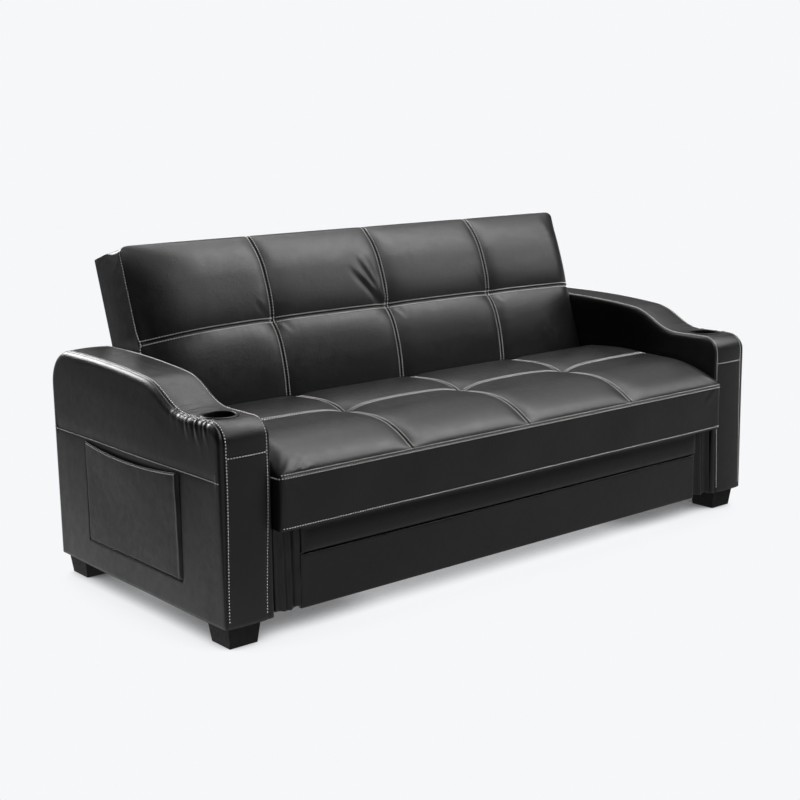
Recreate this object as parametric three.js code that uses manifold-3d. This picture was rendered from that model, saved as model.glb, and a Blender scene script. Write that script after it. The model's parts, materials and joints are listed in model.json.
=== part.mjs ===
// Futon sofa bed with cup holders in its arms, side pockets, a pull-out seat and a fold-flat back.
// Millimetres, +Z up. The sofa faces -Y; left (-X) and right (+X) are as seen from the front.
// Two arms on block feet, tied by a rear panel and a crossbeam, stay where they stand. The seat rides on a
// carriage that slides forward on side rails and two casters, and carries the back on a hinge at each end.
// While it is built, y = 0 is the front face of the arms; the last lines move the origin to the middle of
// the footprint.
import * as THREE from "three";
import { mergeVertices } from "three/addons/utils/BufferGeometryUtils.js";
import Module from "manifold-3d";

const wasm = await Module();
wasm.setup();

// ---- driving dimensions -------------------------------------------------------------------------------
const gap = 0.5; // between pieces that touch
const halfWidth = 1020;
const armWidth = 150;
const armDepth = 885;
const footHeight = 62;
const frontArmTop = 580; // the level part that holds the cup
const rearArmTop = 666;
const armNear = halfWidth - armWidth; // distance of an arm's inner face from the centre plane
const armMiddle = halfWidth - armWidth / 2;

const coverSide = 8; // padded cover of an arm: its thickness at the sides, and over the top, front and rear
const coverTop = 12;
const plywood = 12;
const board = 18;

const cupY = 109;
const cupRadius = 41;
const cupDepth = 72;

const pocketFront = 195;
const pocketRear = 690;
const pocketLow = 143;
const pocketHigh = 428;
const pocketBulge = 10.5; // how far the pocket stands off the arm

const seatOverhang = 32; // of the seat cushion in front of the arms
const seatRear = 512;
const seatTop = 508;
const seatDeckTop = 329.5; // the foam starts above the plywood deck
const carriageTop = 289.5;
const carriageLow = 120;

const backLean = THREE.MathUtils.degToRad(18.2); // from upright, in the sofa position
const pivotY = 596;
const pivotZ = 430;
const backFace = -88; // the back's faces, measured from the pivot square to and along its own slope
const backEdge = -30; // front edge of its side and top boxing
const backRear = 127;
const backLow = -44;
const backHigh = 538;
const backHalf = 857;

const plateThick = 4;
const seatPlateNear = 857.5;
const backPlateNear = 862.5;
const pinRadius = 5;
const plateRadius = 18;

const wheelRadius = 25;
const wheelHalf = 12;
const casterX = 600;
const casterY = 230;

// ---- materials ----------------------------------------------------------------------------------------
const finish = (color, roughness, metalness = 0) =>
  new THREE.MeshStandardMaterial({ color, roughness, metalness });
const leather = finish(0x1c1c1e, 0.42);
const flapLeather = finish(0x18181a, 0.5);
const backing = finish(0x101011, 0.9);
const timber = finish(0xb08d5e, 0.75);
const blackPlastic = finish(0x0c0c0d, 0.35);
const footPlastic = finish(0x131313, 0.5);
const steel = finish(0x8d9094, 0.35, 1);

// ---- geometry helpers ---------------------------------------------------------------------------------
const yzToWorld = new THREE.Matrix4().makeBasis(
  new THREE.Vector3(0, 1, 0),
  new THREE.Vector3(0, 0, 1),
  new THREE.Vector3(1, 0, 0),
);

// A shape drawn in (y, z), made solid from x0 to x1.
function acrossX(shape, x0, x1, curveSegments = 8) {
  const low = Math.min(x0, x1);
  const depth = Math.abs(x1 - x0);
  const geometry = new THREE.ExtrudeGeometry(shape, { depth, bevelEnabled: false, curveSegments });
  return geometry.applyMatrix4(yzToWorld).translate(low, 0, 0);
}

// A shape drawn in (x, z), made solid from y0 back to y1.
function alongY(shape, y0, y1) {
  const options = { depth: y1 - y0, bevelEnabled: false };
  return new THREE.ExtrudeGeometry(shape, options).rotateX(Math.PI / 2).translate(0, y1, 0);
}

function block([x0, x1], [y0, y1], [z0, z1]) {
  const geometry = new THREE.BoxGeometry(Math.abs(x1 - x0), y1 - y0, z1 - z0);
  return geometry.translate((x0 + x1) / 2, (y0 + y1) / 2, (z0 + z1) / 2);
}

// A round bar along z, of the given height range.
function barZ(radius, z0, z1, segments) {
  const geometry = new THREE.CylinderGeometry(radius, radius, z1 - z0, segments);
  return geometry.rotateX(Math.PI / 2).translate(0, 0, (z0 + z1) / 2);
}

// A round bar along x.
function barX(radius, x0, x1, segments = 24) {
  const geometry = new THREE.CylinderGeometry(radius, radius, Math.abs(x1 - x0), segments);
  return geometry.rotateZ(Math.PI / 2).translate((x0 + x1) / 2, 0, 0);
}

function polygon(points) {
  return new THREE.Shape(points.map(([u, v]) => new THREE.Vector2(u, v)));
}

function toSolid(geometry) {
  const bare = geometry.clone();
  bare.deleteAttribute("normal");
  bare.deleteAttribute("uv");
  const merged = mergeVertices(bare, 1e-3);
  const triVerts = new Uint32Array(merged.index.array);
  const vertProperties = merged.attributes.position.array;
  return new wasm.Manifold(new wasm.Mesh({ numProp: 3, vertProperties, triVerts }));
}

function toGeometry(solid) {
  const { vertProperties, triVerts } = solid.getMesh();
  const geometry = new THREE.BufferGeometry();
  geometry.setAttribute("position", new THREE.BufferAttribute(vertProperties, 3));
  geometry.setIndex(new THREE.BufferAttribute(triVerts, 1));
  geometry.computeVertexNormals();
  return geometry;
}

function cut(geometry, ...tools) {
  return toGeometry(tools.reduce((solid, tool) => solid.subtract(toSolid(tool)), toSolid(geometry)));
}

function join(first, ...others) {
  return toGeometry(others.reduce((solid, other) => solid.add(toSolid(other)), toSolid(first)));
}

const sofa = new THREE.Group();

function place(name, material, geometry, parent = sofa) {
  const mesh = new THREE.Mesh(geometry, material);
  mesh.name = name;
  parent.add(mesh);
  return mesh;
}

// ---- arms ---------------------------------------------------------------------------------------------
// The side outline of an arm, moved in by inset all round except at its open bottom.
function armOutline(inset, bottom) {
  const frontRadius = 42 - inset;
  const rearRadius = 105 - inset;
  const rear = armDepth - inset;
  const low = frontArmTop - inset;
  const high = rearArmTop - inset;
  const swoopStart = 165 + inset / 3;
  const shape = new THREE.Shape();
  shape.moveTo(inset, bottom);
  shape.lineTo(inset, low - frontRadius);
  shape.absarc(inset + frontRadius, low - frontRadius, frontRadius, Math.PI, Math.PI / 2, true);
  shape.lineTo(swoopStart, low);
  shape.bezierCurveTo(swoopStart + 85, low, swoopStart + 115, high - 24, swoopStart + 200, high - 17);
  shape.quadraticCurveTo(520, high - 1, 700, high);
  shape.lineTo(rear - rearRadius, high);
  shape.absarc(rear - rearRadius, high - rearRadius, rearRadius, Math.PI / 2, 0, true);
  shape.lineTo(rear, bottom);
  return shape;
}

function armCover(side) {
  const outer = acrossX(armOutline(0, footHeight), side * armNear, side * halfWidth);
  const cavity = acrossX(
    armOutline(coverTop, footHeight - 10),
    side * (armNear + coverSide),
    side * (halfWidth - coverSide),
  );
  const cupHole = barZ(cupRadius + 3.5, frontArmTop - 60, frontArmTop + 20, 32);
  cupHole.translate(side * armMiddle, cupY, 0);
  return cut(outer, cavity, cupHole);
}

function armPanel(near, far) {
  return acrossX(armOutline(coverTop + 2, footHeight + 1 + plywood + gap), near, far);
}

function cupHolder() {
  const floor = frontArmTop - cupDepth;
  const wall = 2;
  const rimTop = frontArmTop + 5;
  const profile = [
    [0, floor],
    [cupRadius + wall, floor],
    [cupRadius + wall, frontArmTop + gap],
    [50, frontArmTop + gap],
    [50, rimTop - 2],
    [48, rimTop],
    [cupRadius + 1, rimTop],
    [cupRadius, rimTop - 1.5],
    [cupRadius, floor + wall + 3],
    [cupRadius - 3, floor + wall],
    [0, floor + wall],
  ];
  const points = profile.map(([r, h]) => new THREE.Vector2(r, h));
  return new THREE.LatheGeometry(points, 32).rotateX(Math.PI / 2);
}

// A flat bag open at the top: a panel with a narrow return down each side and along the bottom.
function sidePocket(side) {
  const inner = halfWidth + gap;
  const outer = halfWidth + pocketBulge;
  const hem = 4;
  const sag = 46;
  const middle = (pocketFront + pocketRear) / 2;
  const bag = new THREE.Shape();
  bag.moveTo(pocketFront, pocketLow);
  bag.lineTo(pocketFront, pocketHigh);
  bag.quadraticCurveTo(middle, pocketHigh - sag, pocketRear, pocketHigh);
  bag.lineTo(pocketRear, pocketLow);
  const inside = block(
    [side * (inner - 1), side * (outer - 2)],
    [pocketFront + hem, pocketRear - hem],
    [pocketLow + hem, pocketHigh + 5],
  );
  return cut(acrossX(bag, side * inner, side * outer, 10), inside);
}

// A square block foot, a little narrower at the floor.
function foot() {
  const atTop = 98 / Math.SQRT2;
  const atFloor = 83 / Math.SQRT2;
  const height = footHeight - gap;
  const geometry = new THREE.CylinderGeometry(atTop, atFloor, height, 4);
  return geometry.rotateY(Math.PI / 4).rotateX(Math.PI / 2).translate(0, 0, height / 2);
}

function addArm(side, word) {
  const at = (distance) => side * distance;
  const innerPly = armNear + coverSide + gap;
  const outerPly = halfWidth - coverSide - gap;
  const postX = [at(innerPly + plywood + gap), at(outerPly - plywood - gap)];
  const floorBoard = footHeight + 1;
  const overBoard = floorBoard + plywood + gap;
  const inside = coverTop + gap;
  place(`${word}_arm_cover`, leather, armCover(side));
  place(`${word}_arm_inner_panel`, timber, armPanel(at(innerPly), at(innerPly + plywood)));
  place(`${word}_arm_outer_panel`, timber, armPanel(at(outerPly - plywood), at(outerPly)));
  place(`${word}_arm_front_post`, timber, block(postX, [inside + 1, 55], [overBoard, 535]));
  place(`${word}_arm_rear_post`, timber, block(postX, [830, armDepth - inside - 1], [overBoard, 550]));
  const boardX = [at(innerPly), at(outerPly)];
  const boardY = [inside, armDepth - inside];
  place(`${word}_arm_base_board`, timber, block(boardX, boardY, [floorBoard, floorBoard + plywood]));
  const cup = place(`${word}_cup_holder`, blackPlastic, cupHolder());
  cup.position.set(at(armMiddle), cupY, 0);
  place(`${word}_side_pocket`, flapLeather, sidePocket(side));
  const footX = halfWidth - 25 - 83 / 2;
  for (const [end, y] of [["front", 25 + 83 / 2], ["rear", armDepth - 25 - 83 / 2]]) {
    const standing = place(`${word}_${end}_foot`, footPlastic, foot());
    standing.position.set(at(footX), y, 0);
  }
}

// ---- fixed frame between the arms ---------------------------------------------------------------------
const railLow = 180;
const railHigh = 210;

function slideRail(side) {
  const web = armNear - gap;
  const lip = web - 12;
  const sheet = 2.5;
  const outline = [
    [web, railLow],
    [web, railHigh],
    [lip, railHigh],
    [lip, railHigh - sheet],
    [web - sheet, railHigh - sheet],
    [web - sheet, railLow + sheet],
    [lip, railLow + sheet],
    [lip, railLow],
  ];
  return alongY(polygon(outline.map(([x, z]) => [side * x, z])), 24, 838);
}

function addFixedFrame() {
  const reach = armNear - gap;
  const across = [-reach, reach];
  place("rear_panel", leather, block(across, [840, 840 + board], [75, carriageTop]));
  place("middle_crossbeam", timber, block(across, [300, 340], [70, 115]));
  place("left_slide_rail", steel, slideRail(-1));
  place("right_slide_rail", steel, slideRail(1));
}

// ---- pull-out carriage --------------------------------------------------------------------------------
const sideBoardFar = 856;
const sideBoardNear = sideBoardFar - board;
const apronHalf = 785; // half width of the front panel, between the two side flaps

function addCarriage() {
  const within = [-(sideBoardNear - gap), sideBoardNear - gap];
  place("front_board", timber, block(within, [22, 22 + board], [75, carriageTop - 1]));
  place("rear_cross_rail", timber, block(within, [540, 540 + board], [carriageLow, carriageTop - 1]));
  place("caster_rail", timber, block(within, [205, 255], [carriageLow - 3, 150]));
  place("front_panel", leather, block([-apronHalf, apronHalf], [4, 21], [footHeight, 208]));
  place("front_rail", leather, block([-apronHalf, apronHalf], [0, 21], [211, carriageTop - 1.5]));
  for (const [word, side] of [["left", -1], ["right", 1]]) {
    const boardX = [side * sideBoardNear, side * sideBoardFar];
    place(`${word}_side_board`, timber, block(boardX, [22, 560], [carriageLow, carriageTop]));
    const barRange = [side * (sideBoardFar + gap), side * 866];
    place(`${word}_slide_bar`, steel, block(barRange, [60, 555], [railLow + 3, railHigh - 3]));
    const flapX = [side * (apronHalf + 4), side * 866];
    place(`${word}_side_flap`, flapLeather, block(flapX, [8, 21], [footHeight + 2, carriageTop - 3]));
  }
}

// A steel plate with two cheeks that hold the wheel's axle.
function casterFork() {
  const cheekNear = wheelHalf + 1.5;
  const cheekFar = cheekNear + 3;
  const plate = block([-25, 25], [-25, 25], [112, carriageLow - 3 - gap]);
  const cheeks = [-1, 1].map((s) =>
    block([s * cheekNear, s * cheekFar], [-13, 13], [wheelRadius - 10, 112.5]),
  );
  const bore = barX(4.35, -cheekFar - 1, cheekFar + 1).translate(0, 0, wheelRadius);
  return cut(join(plate, ...cheeks), bore);
}

function casterWheel() {
  const bore = 4.4;
  const profile = [
    [bore, -wheelHalf],
    [wheelRadius - 3, -wheelHalf],
    [wheelRadius, -wheelHalf + 3],
    [wheelRadius, wheelHalf - 3],
    [wheelRadius - 3, wheelHalf],
    [bore, wheelHalf],
    [bore, -wheelHalf],
  ];
  const points = profile.map(([r, h]) => new THREE.Vector2(r, h));
  return new THREE.LatheGeometry(points, 32).rotateZ(-Math.PI / 2);
}

function addCasters() {
  for (const [word, side] of [["left", -1], ["right", 1]]) {
    const caster = new THREE.Group();
    caster.position.set(side * casterX, casterY, 0);
    sofa.add(caster);
    place(`${word}_caster_fork`, steel, casterFork(), caster);
    const axle = place(`${word}_caster_axle`, steel, barX(4, -19, 19), caster);
    const wheel = place(`${word}_caster_wheel`, blackPlastic, casterWheel(), caster);
    axle.position.z = wheelRadius;
    wheel.position.z = wheelRadius;
  }
}

// ---- seat ---------------------------------------------------------------------------------------------
// Foam block over the deck, with its front skirt hanging down over the seat frame.
function seatCushion() {
  const shape = new THREE.Shape();
  shape.moveTo(-seatOverhang, carriageTop + gap);
  shape.lineTo(-seatOverhang, 428);
  shape.bezierCurveTo(-10, 470, 60, seatTop - 4, 160, seatTop - 2);
  shape.lineTo(seatRear - 20, seatTop);
  shape.quadraticCurveTo(seatRear, seatTop, seatRear, seatTop - 20);
  shape.lineTo(seatRear, seatDeckTop + gap);
  shape.lineTo(0, seatDeckTop + gap);
  shape.lineTo(0, carriageTop + gap);
  return acrossX(shape, -866, 866);
}

function addSeat() {
  const frameFar = 857;
  const railWide = 40;
  const frameZ = [carriageTop + gap + 0.5, 317.5];
  const frameX = [-frameFar, frameFar];
  const rear = seatRear - 1;
  place("seat_front_rail", timber, block(frameX, [1, 1 + railWide], frameZ));
  place("seat_rear_rail", timber, block(frameX, [rear - railWide, rear], frameZ));
  const between = [1 + railWide + gap, rear - railWide - gap];
  place("seat_left_rail", timber, block([-frameFar, -frameFar + railWide], between, frameZ));
  place("seat_right_rail", timber, block([frameFar - railWide, frameFar], between, frameZ));
  place("seat_deck", timber, block(frameX, [1, rear], [318, seatDeckTop]));
  place("seat_cushion", leather, seatCushion());
}

// ---- folding back -------------------------------------------------------------------------------------
const back = new THREE.Group(); // its own z runs up the slope, its own y square to it, from the pivot
back.position.set(0, pivotY, pivotZ);
back.rotation.x = -backLean;
sofa.add(back);

// Foam block, crowned towards the sitter and rounded in at its foot to clear the seat as it turns.
function backCushion(foamRear) {
  const shape = new THREE.Shape();
  shape.moveTo(foamRear, backLow);
  shape.lineTo(foamRear, backHigh);
  shape.lineTo(backEdge, backHigh);
  shape.quadraticCurveTo(backFace + 6, backHigh - 8, backFace, backHigh - 100);
  shape.lineTo(backFace, 60);
  shape.quadraticCurveTo(backFace, -14, -56, backLow);
  return acrossX(shape, -backHalf, backHalf);
}

function addBack() {
  const across = [-backHalf, backHalf];
  const foamRear = 70;
  const coverFront = backRear - 6;
  const frameY = [foamRear + gap, coverFront - gap];
  const rail = 50;
  const lowRail = [backLow, backLow + rail];
  const highRail = [backHigh - rail, backHigh];
  const stileZ = [lowRail[1] + gap, highRail[0] - gap];
  place("back_cushion", leather, backCushion(foamRear), back);
  place("back_bottom_rail", timber, block(across, frameY, lowRail), back);
  place("back_top_rail", timber, block(across, frameY, highRail), back);
  place("back_left_stile", timber, block([-backHalf, -backHalf + rail], frameY, stileZ), back);
  place("back_right_stile", timber, block([backHalf - rail, backHalf], frameY, stileZ), back);
  place("back_centre_stile", timber, block([-rail / 2, rail / 2], frameY, stileZ), back);
  place("back_rear_cover", backing, block(across, [coverFront, backRear], [backLow, backHigh]), back);
}

// ---- back hinges --------------------------------------------------------------------------------------
// Fixed half: runs along the end of the seat frame and rises behind the cushion to the pivot.
function seatPlate(side) {
  const shape = new THREE.Shape();
  shape.moveTo(420, 293);
  shape.lineTo(600, 293);
  shape.lineTo(pivotY + plateRadius, pivotZ);
  shape.absarc(pivotY, pivotZ, plateRadius, 0, Math.PI, false);
  shape.lineTo(564, 350);
  shape.lineTo(534, 327);
  shape.lineTo(420, 327);
  const plate = acrossX(shape, side * seatPlateNear, side * (seatPlateNear + plateThick));
  const hole = barX(pinRadius + 0.4, side * (seatPlateNear - 1), side * (seatPlateNear + plateThick + 1));
  return cut(plate, hole.translate(0, pivotY, pivotZ));
}

// Turning half: from the pivot up the end of the back, drawn in the back's own frame.
function backPlate(side) {
  const reachY = 50;
  const reachZ = 150;
  const slope = Math.atan2(reachZ, reachY);
  const shape = new THREE.Shape();
  shape.absarc(0, 0, plateRadius, slope + Math.PI / 2, slope + Math.PI * 1.5, false);
  shape.absarc(reachY, reachZ, plateRadius, slope - Math.PI / 2, slope + Math.PI / 2, false);
  const plate = acrossX(shape, side * backPlateNear, side * (backPlateNear + plateThick));
  const spacer = barX(12, side * (backHalf + gap), side * (backPlateNear + 1)).translate(0, reachY, reachZ);
  const hole = barX(pinRadius + 0.4, side * (backPlateNear - 1), side * (backPlateNear + plateThick + 1));
  return cut(join(plate, spacer), hole);
}

// A headed pin: its head lies outside the turning plate.
function hingePin(side) {
  const headNear = backPlateNear + plateThick + gap;
  const shaft = barX(pinRadius, side * seatPlateNear, side * (headNear + 0.2));
  const head = barX(9, side * headNear, side * (headNear + 1.8));
  return join(shaft, head).translate(0, pivotY, pivotZ);
}

function addHinges() {
  for (const [word, side] of [["left", -1], ["right", 1]]) {
    place(`${word}_hinge_seat_plate`, steel, seatPlate(side));
    place(`${word}_hinge_back_plate`, steel, backPlate(side), back);
    place(`${word}_hinge_pin`, steel, hingePin(side));
  }
}

addArm(-1, "left");
addArm(1, "right");
addFixedFrame();
addCarriage();
addCasters();
addSeat();
addBack();
addHinges();

// The origin is on the floor, under the middle of the outline from the seat's front to the arms' rear.
sofa.position.y = -(armDepth - seatOverhang) / 2;
const product = new THREE.Group();
product.add(sofa);

export default product;
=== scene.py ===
"""Looks of the futon sofa bed: tufted leather, stitching, timber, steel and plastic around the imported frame.

Metres, in the row frame: +X to the right arm, +Y to the back, +Z up.
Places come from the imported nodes' boxes.
"""
import json
import math

import bmesh
import bpy
import numpy as np
from mathutils import Matrix, Vector
from mathutils.bvhtree import BVHTree


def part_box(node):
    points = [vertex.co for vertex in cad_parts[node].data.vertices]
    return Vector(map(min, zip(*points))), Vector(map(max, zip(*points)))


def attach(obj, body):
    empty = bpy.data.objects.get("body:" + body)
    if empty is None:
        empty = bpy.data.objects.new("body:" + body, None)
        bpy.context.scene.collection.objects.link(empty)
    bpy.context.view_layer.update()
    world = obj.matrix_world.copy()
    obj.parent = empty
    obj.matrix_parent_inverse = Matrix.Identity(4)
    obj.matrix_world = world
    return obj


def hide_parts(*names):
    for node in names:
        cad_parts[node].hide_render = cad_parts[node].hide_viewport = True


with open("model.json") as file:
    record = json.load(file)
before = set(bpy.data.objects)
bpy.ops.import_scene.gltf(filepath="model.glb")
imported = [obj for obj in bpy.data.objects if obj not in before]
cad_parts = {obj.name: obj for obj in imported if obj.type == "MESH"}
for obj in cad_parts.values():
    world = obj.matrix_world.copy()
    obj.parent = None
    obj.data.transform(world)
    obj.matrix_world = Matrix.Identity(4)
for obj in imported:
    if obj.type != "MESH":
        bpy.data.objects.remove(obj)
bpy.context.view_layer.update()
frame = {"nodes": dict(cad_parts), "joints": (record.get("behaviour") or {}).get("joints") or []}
nodes = frame["nodes"]

# ---- dimensions ---------------------------------------------------------------------------------------
SIDES = (("left", -1), ("right", 1))
ARM_LOW, ARM_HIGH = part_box("left_arm_cover")
SEAT_LOW, SEAT_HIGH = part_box("seat_cushion")
FRONT = ARM_LOW.y  # front face of the arms
ARM_REAR = ARM_HIGH.y
ARM_FLOOR = ARM_LOW.z
ARM_OUT = -ARM_LOW.x
ARM_IN = -ARM_HIGH.x

SEAM_X = (-0.435, 0.0, 0.435)  # the three seams that run up the back and across the seat
SEAM_HALF = 0.0065  # from a seam's middle to either of its two rows of stitches
CREASE_DEPTH = 0.0055  # of the crease between those rows
CREASE_WIDTH = 0.0029
SEAM_OFFSETS = (-0.0105, -0.0065, -0.0025, 0.0, 0.0025, 0.0065, 0.0105)  # mesh lines beside each seam
STITCH_PITCH = 0.0080
STITCH_LENGTH = 0.0040
THREAD_RADIUS = 0.00132

STEP = 0.010  # mesh spacing over the cushions
AIR_PRESSURE = 4.0  # inside the cushions while they are puffed out
SWELL = 0.006  # the most that they puff out, and the spare share of leather they have to do it
SIMULATED_FRAMES = 20
SHEET_THICKNESS = 0.0012
ARM_SKIN_THICKNESS = 0.0035
MERGE_DISTANCE = 1e-5

LEAN = math.radians(18.2)
HINGE = next(joint for joint in frame["joints"] if joint["name"] == "back_recline")
PIVOT = Vector(HINGE["pos_m"])


# ---- node materials -----------------------------------------------------------------------------------
class Nodes:
    """A material and short ways to add nodes to it."""

    def __init__(self, name, **settings):
        self.material = bpy.data.materials.new(name)
        self.material.use_nodes = True
        self.tree = self.material.node_tree
        self.shader = self.tree.nodes["Principled BSDF"]
        for key, value in settings.items():
            self.shader.inputs[key.replace("_", " ").title().replace("Ior", "IOR")].default_value = value
        coordinates = self.tree.nodes.new("ShaderNodeTexCoord")
        self.place = coordinates.outputs["Object"]

    def node(self, kind, inputs=None, **properties):
        made = self.tree.nodes.new("ShaderNode" + kind)
        for key, value in properties.items():
            setattr(made, key, value)
        for key, value in (inputs or {}).items():
            if isinstance(value, bpy.types.NodeSocket):
                self.tree.links.new(value, made.inputs[key])
            else:
                made.inputs[key].default_value = value
        return made

    def stretched(self, scale):
        """Object coordinates times a scale for each axis."""
        return self.node("Mapping", {"Vector": self.place, "Scale": scale}).outputs[0]

    def noise(self, scale, detail=3.0, vector=None, roughness=0.5, distortion=0.0):
        made = self.node("TexNoise", {"Vector": vector or self.place, "Scale": scale, "Detail": detail,
                                      "Roughness": roughness, "Distortion": distortion})
        return made.outputs[0]

    def cells(self, scale, vector=None, feature="F1"):
        made = self.node("TexVoronoi", {"Vector": vector or self.place, "Scale": scale}, feature=feature)
        return made.outputs["Distance"]

    def spread(self, value, low, high, start=0.3, end=0.7):
        """Maps a value from start..end onto low..high."""
        made = self.node("MapRange", {"Value": value, "From Min": start, "From Max": end,
                                      "To Min": low, "To Max": high})
        return made.outputs[0]

    def colours(self, value, stops):
        """A colour ramp through (position, colour) stops."""
        made = self.node("ValToRGB", {"Fac": value})
        ramp = made.color_ramp
        while len(ramp.elements) < len(stops):
            ramp.elements.new(0.5)
        for element, (position, colour) in zip(ramp.elements, stops):
            element.position = position
            element.color = (*colour, 1)
        return made.outputs[0]

    def bump(self, height, distance, strength=1.0, under=None):
        """Relief from a height, laid over the relief under it."""
        inputs = {"Height": height, "Distance": distance, "Strength": strength}
        if under is not None:
            inputs["Normal"] = under
        return self.node("Bump", inputs).outputs[0]

    def link(self, output, name):
        self.tree.links.new(output, self.shader.inputs[name])


def leather(name, shade, roughness, crease):
    """Black imitation leather: fine pebble grain, faint creases of the given height, gloss in patches."""
    m = Nodes(name, specular_ior_level=0.30, coat_weight=0.06, coat_roughness=0.30)
    patches = m.noise(5.0, 4.0)
    darker = tuple(c * 0.8 for c in shade)
    lighter = tuple(c * 1.25 for c in shade)
    m.link(m.colours(patches, ((0.3, darker), (0.7, lighter))), "Base Color")
    m.link(m.spread(m.noise(38.0, 5.0), roughness - 0.05, roughness + 0.06), "Roughness")
    pebbles = m.bump(m.cells(620.0), 0.00022, 0.70)
    grain = m.bump(m.noise(230.0, 3.0, roughness=0.6), 0.00055, 0.65, pebbles)
    fine = m.bump(m.noise(60.0, 5.0, distortion=1.2), crease * 0.55, 0.5, grain)
    soft = m.bump(m.noise(13.0, 3.0, distortion=0.6), crease * 1.3, 0.5, fine)
    m.link(soft, "Normal")
    return m.material


def thread(name):
    """Off-white twisted thread."""
    m = Nodes(name, roughness=0.7, sheen_weight=0.3)
    m.link(m.colours(m.noise(300.0), ((0.3, (0.78, 0.77, 0.75)), (0.7, (0.93, 0.92, 0.90)))), "Base Color")
    m.link(m.bump(m.cells(1600.0), 0.0002, 0.6), "Normal")
    return m.material


def dust_cloth(name):
    """Non-woven black fabric: short fibres bonded in a fine dimple grid."""
    m = Nodes(name, roughness=0.92, sheen_weight=0.25)
    fibres = m.noise(420.0, 6.0, roughness=0.7)
    m.link(m.colours(fibres, ((0.35, (0.006, 0.006, 0.007)), (0.7, (0.022, 0.022, 0.024)))), "Base Color")
    dimples = m.bump(m.cells(330.0), 0.0005, 0.7)
    m.link(m.bump(fibres, 0.0003, 0.6, dimples), "Normal")
    return m.material


def timber(name, along):
    """Plain sawn softwood with its grain along one axis."""
    m = Nodes(name)
    squeeze = tuple(1.2 if axis == along else 26.0 for axis in range(3))
    vector = m.stretched(squeeze)
    rings = m.noise(1.6, 4.0, vector, 0.6, 1.4)
    pale, mid, dark = (0.60, 0.43, 0.25), (0.50, 0.33, 0.17), (0.33, 0.19, 0.09)
    m.link(m.colours(rings, ((0.32, dark), (0.5, mid), (0.68, pale))), "Base Color")
    m.link(m.spread(rings, 0.62, 0.8), "Roughness")
    pores = m.noise(9.0, 5.0, vector, 0.7)
    m.link(m.bump(pores, 0.0006, 0.5), "Normal")
    return m.material


def plywood(name):
    """Pale plywood with its face grain along Y."""
    m = Nodes(name)
    face = m.noise(2.2, 5.0, m.stretched((8.0, 1.2, 8.0)), 0.6, 1.0)
    m.link(m.colours(face, ((0.3, (0.42, 0.28, 0.15)), (0.7, (0.62, 0.46, 0.28)))), "Base Color")
    m.link(m.spread(face, 0.55, 0.75), "Roughness")
    m.link(m.bump(face, 0.0004, 0.4), "Normal")
    return m.material


def zinc_steel(name):
    """Zinc-plated pressed steel: faint crystal patches and rolling lines."""
    m = Nodes(name, metallic=1.0)
    patches = m.cells(90.0)
    m.link(m.colours(patches, ((0.1, (0.42, 0.43, 0.45)), (0.6, (0.62, 0.63, 0.65)))), "Base Color")
    m.link(m.spread(m.noise(60.0, 5.0), 0.26, 0.44), "Roughness")
    lines = m.noise(30.0, 4.0, m.stretched((60.0, 1.0, 1.0)))
    m.link(m.bump(lines, 0.00005, 0.4), "Normal")
    return m.material


def moulded_plastic(name, shade, roughness, gloss=0.25):
    """Moulded black plastic with a fine spark-eroded texture and faint scuffs."""
    m = Nodes(name, specular_ior_level=gloss)
    m.link(m.colours(m.noise(25.0, 5.0), ((0.3, shade), (0.75, tuple(c * 1.6 for c in shade)))), "Base Color")
    m.link(m.spread(m.noise(90.0, 6.0), roughness - 0.06, roughness + 0.08), "Roughness")
    m.link(m.bump(m.noise(900.0, 3.0), 0.0001, 0.6), "Normal")
    return m.material


LEATHER = leather("black leather", (0.0048, 0.0048, 0.0052), 0.38, 0.0011)
THIN_LEATHER = leather("thin black leather", (0.0050, 0.0050, 0.0054), 0.43, 0.0020)
THREAD = thread("white thread")
CLOTH = dust_cloth("dust cloth")
PLYWOOD = plywood("plywood")
STEEL = zinc_steel("zinc steel")
CUP_PLASTIC = moulded_plastic("cup plastic", (0.0045, 0.0045, 0.0050), 0.33)
FOOT_PLASTIC = moulded_plastic("foot plastic", (0.0022, 0.0022, 0.0024), 0.58, 0.14)
TIMBERS = [timber("timber along " + "xyz"[axis], axis) for axis in range(3)]


# ---- mesh helpers -------------------------------------------------------------------------------------
def smooth(low, high, value):
    """0 below low, 1 above high, with a smooth rise between them."""
    t = np.clip((np.asarray(value, float) - low) / (high - low), 0, 1)
    return t * t * (3 - 2 * t)


def spaced(start, end, step, seams=(), close=SEAM_OFFSETS):
    """Positions from start to end, about step apart, with a set of close ones at each seam."""
    fixed = [start, end] + [seam + c for seam in seams for c in close if start <= seam + c <= end]
    fixed = sorted(set(round(f, 6) for f in fixed))
    out = []
    for a, b in zip(fixed, fixed[1:]):
        count = max(1, round((b - a) / step))
        out += [a + (b - a) * k / count for k in range(count)]
    return np.array(out + [end])


def grid_faces(rows, columns, around=False, first=0):
    """Quads of a grid of rows by columns points; around joins the last column to the first."""
    faces = []
    for i in range(rows - 1):
        for j in range(columns if around else columns - 1):
            k = (j + 1) % columns
            a, b = first + i * columns, first + (i + 1) * columns
            faces.append((a + j, b + j, b + k, a + k))
    return faces


def new_object(name, points, faces, material):
    """A smooth-shaded mesh object, linked into the scene."""
    mesh = bpy.data.meshes.new(name)
    mesh.from_pydata([tuple(p) for p in points], [], faces)
    mesh.materials.append(material)
    mesh.polygons.foreach_set("use_smooth", [True] * len(mesh.polygons))
    piece = bpy.data.objects.new(name, mesh)
    bpy.context.scene.collection.objects.link(piece)
    return piece


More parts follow.
